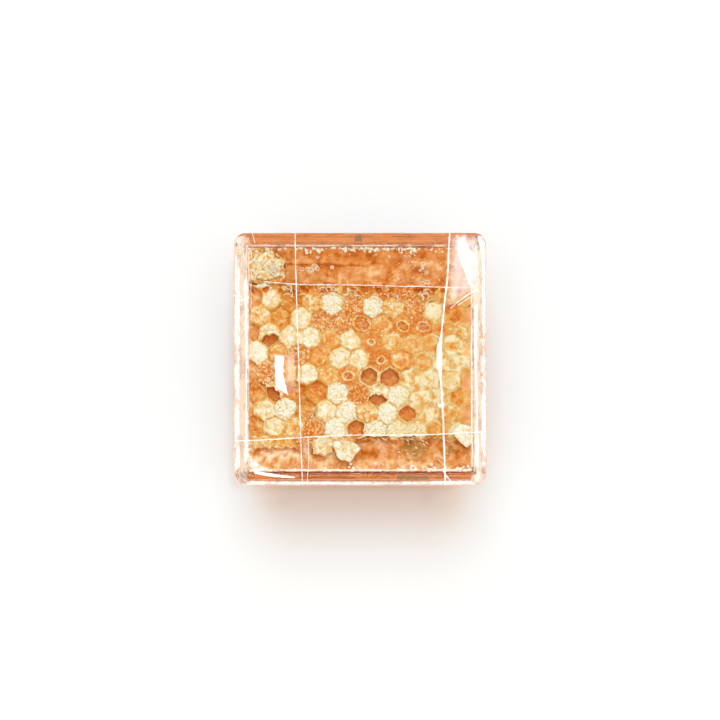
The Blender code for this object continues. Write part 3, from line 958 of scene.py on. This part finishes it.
def wrinkled_cap(cell, share, away, spot):
    """Dry white wax that has crumpled."""
    up = cap_rise(cell, away, spot, 1.0)
    folds = abs(noise.fractal(spot / (1.0 * MM), 0.5, 2.3, 4))
    return (0.15 + 0.42 * folds) * up, 0.44 + 0.44 * up + 1.3 * (folds - 0.15), 0.5, 0.0


def grainy_cap(cell, share, away, spot):
    """Pale wax covered with small bubbles."""
    up = cap_rise(cell, away, spot, 0.95)
    bubbles = froth(spot, 0.75 * MM)
    lumps = lumpy(spot, 1.5)
    return (0.2 + 0.16 * bubbles + 0.1 * lumps) * up, 0.24 + 0.3 * up + 0.28 * bubbles + 0.3 * lumps, 0.6, 0.0


def thin_cap(cell, share, away, spot):
    """A thin tan cap with honey right under it, paler round its edge."""
    up = cap_rise(cell, away, spot, 0.9)
    lumps = lumpy(spot, 1.8)
    ring = peak(share, 0.72, 0.13) * ease(-0.25, 0.3, wave(spot, 2.6))
    return (0.12 + 0.08 * ring) * up, 0.32 + 0.12 * up + 0.28 * ring * up + 0.42 * lumps, 0.55, 0.0


def golden_cap(cell, share, away, spot):
    """A cap under a layer of golden honey."""
    up = cap_rise(cell, away, spot, 0.92)
    lumps = lumpy(spot, 2.2)
    return 0.1 * up + 0.1 * lumps, 0.8 + 0.08 * up + 0.7 * lumps, 0.4, 1.0


def grainy_honey(cell, share, away, spot):
    """Honey full of small bubbles, level with the walls."""
    bubbles = froth(spot, 0.65 * MM)
    return 0.02 + 0.2 * bubbles, 0.26 + 0.14 * bubbles + 0.25 * lumpy(spot, 1.6), 1.1, 0.0


# How far each thin ring of wax reaches from the middle of its cell, in millimetres, north row first
RING_SIZES = (2.2, 1.7, 1.5, 0.9, 1.0, 1.4)


def ringed(cell, share, away, spot):
    """A thin ring of pale wax round an opening full of honey."""
    size = RING_SIZES[list(cells_of("R")).index(cell)] * MM
    radius = size * (1 + 0.1 * wave(spot, 1.5))
    far = Vector((away.x, 1.15 * away.y)).length
    ring = peak(far, radius, 0.25 * MM)
    inside = ease(radius, radius - 0.3 * MM, far)
    tone = 0.2 + 0.7 * ring - 0.04 * inside + 0.3 * lumpy(spot, 1.8)
    return 0.02 + 0.2 * ring - 0.25 * inside, tone, 0.5 + 0.6 * inside, 0.0


def broken_cap(cell, share, away, spot):
    """A cap of which one side has broken away."""
    shake = random.Random(cell[0] * 31 + cell[1])
    turn = shake.uniform(3.9, 5.5)
    edge = (away.x * math.cos(turn) + away.y * math.sin(turn)) / MM + 0.5 * math.sin(away.length / (0.5 * MM))
    gone = ease(0.2, 0.45, edge) * (share < 0.86)
    height, tone, _, _ = grainy_cap(cell, share, away, spot)
    return height * (1 - gone) + PIT * gone, (tone + 0.2) * (1 - gone) + 0.2 * gone, 0.5, 0.0


def open_cell(cell, share, away, spot):
    """An open cell with a thick pale rim and honey inside."""
    low = 0.7 - 0.16 * ease(10 * MM, 12 * MM, spot.x)
    wall = ease(low, low + 0.14, 0.6 * share + 0.36 * away.length / (PITCH / 2) + 0.08 * wave(spot, 1.5))
    lumps = lumpy(spot, 1.2)
    return (0.2 + 0.1 * lumps) * wall + PIT * (1 - wall), 0.26 + 0.54 * wall + 0.3 * lumps, 0.5, 0.0


def clear_cell(cell, share, away, spot):
    """A cell brimming with clear honey, whose walls only just show."""
    wall = ease(0.86, 0.98, share + 0.06 * wave(spot, 1.1))
    lumps = lumpy(spot, 1.8)
    return -0.7 + 0.55 * wall + 0.3 * lumps, 0.3 + 0.2 * wall + 0.4 * lumps, 0.35, 0.0


def edge_cell(cell, share, away, spot):
    """A cell squashed against the wall of the box, soaked with honey."""
    lumps = lumpy(spot, 1.6)
    return -0.7 + 0.2 * lumps, (0.36 if spot.x < 0 else 0.62) + 0.3 * lumps, 0.25, 0.0


CELL_KINDS = {
    "E": ("cells_crushed", edge_cell),
    "C": ("caps_smooth", smooth_cap),
    "W": ("caps_wrinkled", wrinkled_cap),
    "P": ("caps_grainy", grainy_cap),
    "T": ("caps_thin", thin_cap),
    "Y": ("caps_golden", golden_cap),
    "G": ("cells_of_grainy_honey", grainy_honey),
    "R": ("cells_with_wax_rings", ringed),
    "B": ("caps_broken", broken_cap),
    "O": ("cells_open", open_cell),
    "H": ("cells_of_clear_honey", clear_cell),
}
CELL_CUTS = 13


def cell_tops(letter, material):
    """The tops of all the cells of one kind, each cell a finely divided six-sided face."""
    name, shape = CELL_KINDS[letter]
    sheet = hexagons(name, list(cells_of(letter)), CELL_RADIUS, -MM)
    with editing(sheet):
        thicken(MM)
        divide(sheet, 0, CELL_CUTS)
    _, _, south, north = outline_at(COMB_TOP_Z)
    tones, grains, golds = [], [], []
    for vert in sheet.data.vertices:
        inner = Vector((vert.co.x * 0.9999, vert.co.y * 0.9999, 0))
        cell = nearest_cell(inner)
        if cell_letter(*cell) != letter:
            cell = min(cells_of(letter), key=lambda c: (flat_centre(*c) - inner).length)
        away = vert.co - flat_centre(*cell)
        away.z = 0
        share = edge_share(away)
        spot = settle(vert.co.x, vert.co.y)
        height, tone, grain, gold = shape(cell, share, away, spot)

        # Each cell sits a little higher or lower than the next, and tilts
        shake = random.Random(cell[0] * 100 + cell[1])
        lift = shake.uniform(-0.1, 0.1) * ease(1.0, 0.8, share)
        tilt = (shake.uniform(-0.04, 0.04) * away.x + shake.uniform(-0.04, 0.04) * away.y) * ease(1.0, 0.8, share)
        tone += shake.uniform(-0.08, 0.08)

        # The lattice is warped, and ends at the walls and at the ragged cut edges
        warp = noise.noise_vector(spot / (3.1 * MM)) * 0.5 * MM + noise.noise_vector(spot / (1.1 * MM)) * 0.12 * MM
        golden = ease(11 * MM, 17 * MM, spot.x - 0.35 * spot.y)
        spot += Vector((warp.x, warp.y, 0))
        spot.x = math.copysign(squash(abs(spot.x), CAVITY_HALF - CLEAR_OF_WALL), spot.x)
        ragged = 1.5 * MM * wave(spot, 1.9)
        front = south - 1.4 * MM + 2.5 * MM * ease(-4 * MM, 2 * MM, spot.x)
        spot.y = -squash(-squash(spot.y, north + 0.3 * MM + ragged), -front - ragged)

        # Neighbours meet in one shared surface, and most of all under the golden honey in the east
        flush = ease(0.75, 1.0, share) * (0.3 + 0.6 * golden)
        shared = lumpy(spot, 1.7)
        height += (0.1 * shared - height) * flush
        tone += (0.4 + 0.36 * golden + 0.4 * shared - tone) * flush

        # Dark pockets along the north edge, and soaked wax beside the east wall
        pocket = ease(17.0 * MM, 18.4 * MM, spot.y) * ease(0.05, 0.3, wave(spot, 1.6))
        height -= 0.5 * pocket
        tone -= (tone + 0.1) * pocket
        beside = ease(26.2 * MM, 27.4 * MM, spot.x + 0.5 * MM * shared)
        beside *= max(ease(11.5 * MM, 8.5 * MM, abs(spot.y + 12 * MM)), ease(4.5 * MM, 3 * MM, abs(spot.y - 13.5 * MM)))
        height += (-0.4 - height) * beside
        tone += (0.5 + 0.15 * shared - tone) * beside
        gold = max(gold, golden) * (1 - beside)
        calm = 1 - 0.3 * golden
        top = SEAM_Z + ((height + lift) * MM + tilt) * calm - 0.25 * MM * golden
        vert.co = (spot.x, spot.y, top if vert.co.z > -0.5 * MM else TOPS_BASE_Z)
        tones.append(tone)
        grains.append(grain * calm)
        golds.append(gold * 0.65)
    write(sheet, tone=tones, grain=grains, gold=golds)
    with editing(sheet):
        pick_all()
        bpy.ops.mesh.dissolve_degenerate(threshold=0.004 * MM)
    return finish(sheet, material, 62)


# Loose pieces of cap: the node that each stands for, its outline in millimetres, its lowest height, its tone and how
# ragged it is
FLAKES = (
    (
        *("curled_flake_front", "wax_flake_front"),
        ((-7.0, -21.8), (-2.8, -21.7), (0.3, -23.4), (-2.6, -27.2), (-5.6, -26.5), (-7.0, -24.0)),
        *(23.3, 0.9, 0.4),
    ),
    (
        *("curled_flake_middle", "wax_flake_middle"),
        ((-12.7, -22.2), (-10.4, -21.3), (-7.4, -22.4), (-7.5, -24.6), (-9.6, -25.6), (-12.5, -25.0)),
        *(23.2, 0.8, 0.5),
    ),
    (
        *("curled_flake_corner", "wax_flake_corner"),
        ((-29.0, 21.6), (-28.8, 28.9), (-23.8, 29.0), (-20.8, 25.6), (-21.8, 22.2), (-25.4, 21.4)),
        *(23.2, 0.8, 1.1),
    ),
    (
        *("soaked_flake_corner", None),
        ((-30.2, 20.6), (-30.4, 30.0), (-25.0, 29.8), (-20.4, 27.0), (-20.2, 21.2), (-24.6, 18.8)),
        *(22.7, 0.5, 1.0),
    ),
    (
        *("curled_flake_east", None),
        ((24.4, -19.4), (26.6, -17.2), (29.5, -17.9), (29.5, -22.6), (28.4, -23.4), (26.2, -21.8)),
        *(24.1, 1.0, 0.4),
    ),
)
FLAKE_THICK = 0.45 * MM


def flake(name, outline, height, tone, rough, material):
    """A thin curled plate of cap wax, crumpled and broken along its edge."""
    bpy.ops.mesh.primitive_circle_add(vertices=6, radius=MM, fill_type="NGON", location=(0, 0, 0))
    plate = settled(name)
    middle = Vector((sum(x for x, _ in outline), sum(y for _, y in outline), 0)) / 6 * MM
    turned = sorted(outline, key=lambda p: math.atan2(p[1] * MM - middle.y, p[0] * MM - middle.x))
    corners = sorted(plate.data.vertices, key=lambda v: math.atan2(v.co.y, v.co.x))
    for vert, (x, y) in zip(corners, turned):
        vert.co = (x * MM, y * MM, 0)
    with editing(plate):
        thicken(FLAKE_THICK)
        divide(plate, FLAKE_THICK, 15)
    reach = CAVITY_HALF - 0.2 * MM
    tones = []
    for vert in plate.data.vertices:
        spot = Vector((vert.co.x, vert.co.y, 0))
        ragged = noise.noise_vector(spot / (1.4 * MM)) * rough * MM
        out = (spot - middle).length / (4 * MM)
        folds = lumpy(spot, 1.3 if rough < 1 else 0.8)
        curl = 0.25 * MM * (1 - out * out)
        z = height * MM + vert.co.z + curl + ((0.13 + 0.12 * rough) * folds * MM if vert.co.z > 0.2 * MM else 0)
        vert.co = (max(-reach, spot.x + ragged.x), min(reach, spot.y + ragged.y), z)
        tones.append(tone + (0.15 + 0.35 * rough) * folds)
    write(plate, tone=tones, grain=0.2 + 0.4 * rough, gold=0.0)
    return finish(plate, material, 50)


def raft(name, inner, side, material):
    """Crushed wax that floats under the honey's surface, from this far out to the wall."""
    wall = CAVITY_HALF - CLEAR_OF_WALL
    depth = wall - inner
    rows = int(depth / (0.32 * MM))
    bpy.ops.mesh.primitive_grid_add(x_subdivisions=190, y_subdivisions=rows, size=1, location=(0, 0, 0))
    sheet = settled(name)
    for vert in sheet.data.vertices:
        vert.co.x *= 2 * wall
        vert.co.y = side * (inner + wall) / 2 + vert.co.y * depth
    with editing(sheet):
        thicken(MM)
    tones, stains = [], []
    for vert in sheet.data.vertices:
        spot = Vector((vert.co.x, vert.co.y, side * 9 * MM))
        broad = lumpy(Vector((spot.x / 2, spot.y, spot.z)), 3, 2)
        lumps = lumpy(spot, 1.6)
        top = vert.co.z > 0.5 * MM
        height = honey_high.z - (1.3 if side > 0 else 0.7) * MM + (0.3 * broad + 0.25 * lumps * top - (not top)) * MM
        out = abs(vert.co.y) - inner
        if side < 0:
            height += 0.9 * MM * ease(-6 * MM, -10 * MM, spot.x) * ease(3.6 * MM, 1.8 * MM, out) * top
        stray = noise.noise_vector(spot / (2.2 * MM)) * (0.9 - 0.6 * ease(0, 1.2 * MM, out)) * MM
        y = max(-wall, min(wall, vert.co.y + stray.y))
        vert.co = (spot.x, y, height)
        tone, stain = (north_tone if side > 0 else south_tone)(spot.x, y, broad, lumps)
        tones.append(tone)
        stains.append(stain)
    write(sheet, tone=tones, grain=0.2, gold=0.0, stain=stains)
    return finish(sheet, material, 60)


def north_tone(x, y, broad, lumps):
    """Orange, with one dark line along it and a few pale upright streaks that are painted highlights. Returns the tone
    and how olive it is.
    """
    line = peak(y - 25.4 * MM + 0.7 * MM * broad, 0, 0.35 * MM)
    line = line * ease(-21 * MM, -18 * MM, x) * ease(12 * MM, -6 * MM, x)
    # Pale upright streaks: painted highlights of light in the honey
    upright = noise.noise(Vector((x / (1.3 * MM), y / (6 * MM), 3)))
    streak = ease(0.0, 0.5, upright) * ease(-11 * MM, -7 * MM, x)
    streak = streak * ease(7 * MM, 2 * MM, x) * ease(24.8 * MM, 23.4 * MM, y)
    outer = ease(26 * MM, 27 * MM, y)
    return 0.38 - 0.5 * line + 0.36 * streak - 0.06 * outer + 0.26 * lumps + 0.25 * broad, 0.0


# Two olive patches in the south: the middle of each and how far it reaches, in millimetres
OLIVE_PATCHES = ((14.0, -24.2, 3.9), (23.6, -24.0, 1.8))


def south_tone(x, y, broad, lumps):
    """Orange, mottled with cream in the west and browner in the east. Returns the tone and how olive it is."""
    mottled = ease(-10 * MM, -15 * MM, x) * ease(-28 * MM, -26 * MM, y)
    browner = ease(-2 * MM, 6 * MM, x) * ease(-28 * MM, -26 * MM, y)
    spot = Vector((x, y)) / MM
    stain = max(ease(r, 0.3 * r, (spot - Vector((px, py))).length + 2.2 * lumps) for px, py, r in OLIVE_PATCHES)
    return 0.53 + 0.15 * mottled - 0.13 * browner + (0.38 + 0.2 * mottled) * lumps + 0.25 * broad, 0.6 * stain


# Where curled threads of wax lie: the middle in millimetres, how far they scatter, how many there are, and how wide
# the rings are that some of them make (below 0 for arcs)
STRANDS = (
    (-19.0, 18.0, 2.6, 5, -1.5),
    (-9.4, 17.8, 2.4, 6, -1.2),
    (-2.0, 17.8, 2.0, 4, -1.2),
    (16.0, 17.8, 1.6, 6, -1.2),
    (-24.2, 24.0, 3.0, 12, 0.0),
    (-23.4, 24.4, 3.2, 9, 0.45),
    (3.5, 17.2, 3.0, 4, -1.4),
    (9.0, 17.6, 2.0, 3, -1.2),
    (-13.2, 24.0, 1.6, 4, 0.7),
    (-10.9, 24.3, 1.2, 4, 0.8),
    (-7.2, 24.2, 0.8, 2, 0.4),
    (-11.0, 27.4, 0.5, 1, 0.5),
    (17.6, 25.0, 1.0, 3, 0.5),
    (16.4, 23.8, 0.8, 3, 0.4),
    (24.4, 24.6, 1.4, 3, 0.4),
    (17.2, 20.6, 1.0, 2, 0.6),
    (-22.0, 0.0, 2.4, 5, 0.0),
)


def strands(material):
    """Threads of wax along the cut edge of the comb."""
    shake = random.Random(5)
    curve = new_curve("wax_threads", 0.13 * MM, 1, 5)
    for x, y, scatter, count, ring in STRANDS:
        for _ in range(count):
            across, up = shake.gauss(x, scatter / 2), shake.gauss(y, scatter / 3)
            spot = Vector((across, up, SEAM_Z / MM + shake.uniform(0.3, 0.6)))
            turn = shake.uniform(0, 6.3)
            spline = curve.splines.new("BEZIER")
            spline.bezier_points.add(7 if ring > 0 else 3)
            spline.use_cyclic_u = ring > 0
            size = abs(ring) * shake.uniform(0.6, 1.1)
            turn = shake.uniform(0.3, 1.4) if ring < 0 else turn
            for knot in spline.bezier_points:
                knot.co = spot * MM
                knot.radius = shake.uniform(0.5, 1.1)
                knot.handle_left_type = knot.handle_right_type = "AUTO"
                turn += math.tau / 8 if ring > 0 else -math.tau / 8 if ring else shake.uniform(-1.3, 1.3)
                long = size * 0.77 * shake.uniform(0.8, 1.2) if ring else 0.7
                high = shake.uniform(-0.04, 0.04) if ring else shake.uniform(-0.12, 0.12)
                spot = spot + Vector((long * math.cos(turn), (0.85 if ring else 0.72) * long * math.sin(turn), high))
    threads = solid("wax_threads", curve)
    write(threads, tone=0.95, grain=0.2, gold=0.0)
    return finish(threads, material, 180)


# Where crumbs of wax gather: the middle in millimetres, how far they scatter, how many there are and how long they are.
# Those longer than 1 are slivers that paint glints of light on the wet honey
CRUMBS = (
    (-24.5, -4.5, 2.5, 60, 1.0),
    (-19.0, 4.5, 3.0, 30, 1.0),
    (9.0, 14.0, 6.0, 60, 1.0),
    (-9.0, 14.0, 6.0, 50, 1.0),
    (13.5, 26.0, 6.0, 70, 1.0),
    (-12.0, -16.0, 4.0, 50, 1.0),
    (12.0, -24.0, 6.0, 50, 1.0),
    (-22.0, -14.0, 4.0, 50, 1.0),
    (26.0, 26.0, 2.5, 30, 1.0),
    (0.0, 0.0, 14.0, 120, 1.0),
    (-24.0, 24.0, 2.5, 40, 1.0),
    (10.0, -22.4, 6.0, 9, 3.2),
    (17.0, -23.6, 3.0, 4, 3.2),
    (22.0, -27.0, 2.0, 5, 2.2),
    (-4.0, -20.6, 1.6, 5, 2.4),
    (8.0, 28.4, 5.0, 10, 2.6),
    (14.0, 28.6, 2.0, 5, 2.6),
    (4.0, -16.0, 7.0, 12, 1.8),
    (0.0, 16.5, 12.0, 12, 1.8),
    (18.0, -13.0, 6.0, 8, 2.0),
)


def bead(name):
    bpy.ops.mesh.primitive_ico_sphere_add(subdivisions=1, radius=1, location=(0, 0, 0))
    return settled(name)


def crumbs(material):
    """Crumbs of cap wax and small bubbles, lying where the cells were cut, white and standing partly for their sparkle.

    The long slivers are painted glints of light on the wet honey.
    """
    shake = random.Random(8)
    first = bead("wax_crumbs_and_painted_glints")
    grains = []
    reach = CAVITY_HALF - 0.6 * MM
    for x, y, scatter, count, long in CRUMBS:
        for _ in range(count):
            spot = [max(-reach, min(reach, shake.gauss(v, scatter / 2) * MM)) for v in (x, y)]
            size = MM * shake.uniform(0.07, 0.2)
            shape = Matrix.Diagonal([size * shake.uniform(0.6, 1.3) for _ in range(3)] + [1])
            # A long sliver is a painted glint of light on the wet honey
            if long > 1:
                slant = Matrix.Rotation(shake.uniform(-1.3, -0.2), 4, "Z")
                shape = slant @ Matrix.Diagonal((long * 0.16 * MM, 0.15 * MM, 0.12 * MM, 1))
            height = honey_high.z + shake.uniform(0.45, 0.75) * MM
            grains.append(copy_at(first, Matrix.Translation((*spot, height)) @ shape))
    bpy.data.objects.remove(first)
    made = join("wax_crumbs_and_painted_glints", grains)
    write(made, tone=1.0, grain=0.0, gold=0.0)
    return finish(made, material)


def foam(material):
    """White foam: bubbles that have gathered where the honey meets the north and south walls."""
    ball = bead("foam_on_honey")
    shake = random.Random(21)
    balls = [ball]
    edge = CAVITY_HALF - 0.3 * MM
    flat = Matrix.Diagonal((1, 1, 0.6, 1))
    for side in (1, -1):
        x = -edge
        while x < edge:
            crowded = noise.noise(Vector((x / (5 * MM), side, 0))) > 0.05
            x += shake.expovariate(1 / ((0.3 if crowded else 0.5) * MM))
            y = side * (edge - abs(shake.gauss(0, 0.7 if crowded else 0.3)) * MM)
            place = Matrix.Translation((min(x, edge), y, honey_high.z + 0.8 * MM))
            radius = shake.uniform(0.16, 0.5 if crowded else 0.34) * MM
            balls.append(copy_at(ball, place @ flat @ Matrix.Scale(radius, 4)))
    ball.data.transform(Matrix.Translation((0, edge, honey_high.z)) @ Matrix.Scale(0.2 * MM, 4))
    made = join("foam_on_honey", balls)
    write(made, tone=1.0, grain=0.0, gold=0.0)
    return finish(made, material, 180)


# ---- honey ----

# How far the honey's two ends reach into the clear wall, where the wall's own shine would hide it
SEEP = 1.6 * MM


def honey(material):
    """The honey: it fills the tray and the cells up to its level, with a wet edge that climbs the walls."""
    pool = block_of_squares("amber_honey", 79)
    low, high = FLOOR_Z - 0.05 * MM, honey_high.z
    for vert in pool.data.vertices:
        u, v, w = vert.co
        share = (w + 1) / 2
        z = low + (high - low) * share
        half = CAVITY_HALF - WALL_DRAFT * (1 - share) + 0.06 * MM
        x, y = round_off(u * half, v * half, half, CAVITY_RADIUS)
        if w > 0.999:
            near_wall = max(0.0, 1 - (half - max(abs(x), abs(y))) / (1.2 * MM))
            z += 0.35 * MM * near_wall**2 + 0.05 * MM * wave(Vector((x, y, 0)), 4)
            z += (0.58 + 0.35 * ease(10 * MM, 18 * MM, x - 0.35 * y)) * MM
        y *= 1 + SEEP / half
        vert.co = (x, y, z)
    return finish(pool, material, 50)


# ---- the studio ----

# The camera stands this far off, a little to the south of overhead, and takes in this width
CAMERA_FAR = 0.8
CAMERA_WIDTH = 0.1908
CAMERA_ELEVATION = math.radians(87)


def lamp(name, kind, place, energy, size, code):
    """A lamp that points at the middle of the floor. size is a sun's angle, or an area lamp's width."""
    light = bpy.data.lights.new(name, kind)
    light.energy = energy
    light.color = hue(code)[:3]
    if kind == "SUN":
        light.angle = size
    else:
        light.size = size
    thing = put(name, light)
    thing.location = place
    thing.rotation_euler = (-Vector(place)).to_track_quat("-Z", "Y").to_euler()


def studio():
    bpy.ops.mesh.primitive_plane_add(size=3, location=(0, 0, 0))
    floor = settled("floor")
    paper, tree, shader, _ = new_material("pale_paper")
    feed(tree, shader, {"Base Color": hue("DFDBD7"), "Roughness": 0.9})
    finish(floor, paper)

    world = bpy.data.worlds.new("soft_studio")
    bpy.context.scene.world = world
    world.use_nodes = True
    tree = world.node_tree
    way = add(tree, "TexCoord").outputs["Generated"]
    up = add(tree, "SeparateXYZ", {0: way}).outputs["Z"]
    # A pale tent, brightest low down, with a small dark opening right overhead so that the flat lid mirrors little
    low = add(tree, "MapRange", {0: up, 1: 0.3, 2: 0.65, 3: 1.14, 4: 0.87})
    overhead = add(tree, "MapRange", {0: up, 1: 0.85, 2: 0.95, 3: 1.0, 4: 0.04})
    strength = add(tree, "Math", {0: low, 1: overhead}, operation="MULTIPLY")
    feed(tree, tree.nodes["Background"], {"Strength": strength, "Color": hue("FFD6AE")})

    # Blue lamps against the peach tent make the floor white and leave the shadows warm
    lamp("key", "SUN", (-0.03, 0.629, 0.777), 2.66, math.radians(42), "B6E5FF")
    for side in (-1, 1):
        lamp("side_fill", "SUN", (side * 0.44, 0.0, 0.898), 0.6, math.radians(40), "B6E5FF")
    lamp("glint", "AREA", (0.2, 0.12, 0.95), 1.6, 0.1, "FFFFFF")

    camera = put("camera", bpy.data.cameras.new("camera"))
    target = Vector((0, -0.0003, film_high.z))
    back = Vector((0, -math.cos(CAMERA_ELEVATION), math.sin(CAMERA_ELEVATION)))
    camera.location = target + back * CAMERA_FAR
    camera.rotation_euler = (-back).to_track_quat("-Z", "Y").to_euler()
    camera.data.lens = camera.data.sensor_width * CAMERA_FAR / CAMERA_WIDTH
    bpy.context.scene.camera = camera
    bpy.context.scene.view_settings.view_transform = "Standard"

    # Light crosses many clear walls here
    paths = bpy.context.scene.cycles
    paths.max_bounces = 24
    paths.transmission_bounces = 20
    paths.transparent_max_bounces = 24
    paths.caustics_refractive = False
    paths.caustics_reflective = False


def lets_light_by(thing):
    """Keeps a clear piece from casting a shadow, and from light that scatters off the others."""
    thing.visible_shadow = False
    thing.visible_diffuse = False
    return thing


def ready(piece, slot, *nodes):
    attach(piece, "root")
    if nodes:
        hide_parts(*nodes)


def main():
    studio()
    plastic = polystyrene()
    beeswax = wax("beeswax", 0.25, 0.45)
    dry_wax = wax("dry_wax", 0.4, 0.0)
    floating_wax = wax("floating_wax", 0.0, 0.2, FLOAT_COLOURS)
    ready(lets_light_by(tray(plastic)), "box_plastic", "box_base")
    ready(lets_light_by(lid(plastic)), "box_plastic", "box_lid")
    ready(lets_light_by(film(clear_film())), "film", "film_wrap")
    ready(honey(honey_look()), "honey", "honey")
    ready(comb_walls(wax("comb_wax", 0.0, 0.2)), "beeswax", "honeycomb")
    creased = film_crease()
    for name, width, points in CREASES:
        ready(crease(name, width, points, creased), "film")
    doubled_and_painted_light = doubled_film_and_painted_light()
    for name, *shape in (*FILM_STRIPS, *corner_strips()):
        ready(lets_light_by(film_strip(name, *shape, doubled_and_painted_light)), "film")
    for letter in CELL_KINDS:
        ready(cell_tops(letter, floating_wax if letter == "E" else beeswax), "beeswax")
    for name, node, *shape in FLAKES:
        ready(flake(name, *shape, beeswax), "beeswax", *([node] if node else []))
    ready(foam(dry_wax), "beeswax")
    ready(raft("floating_wax_north", 19.2 * MM, 1, floating_wax), "beeswax")
    ready(raft("floating_wax_south", 20.2 * MM, -1, floating_wax), "beeswax")
    ready(strands(dry_wax), "beeswax")
    ready(crumbs(dry_wax), "beeswax")


main()
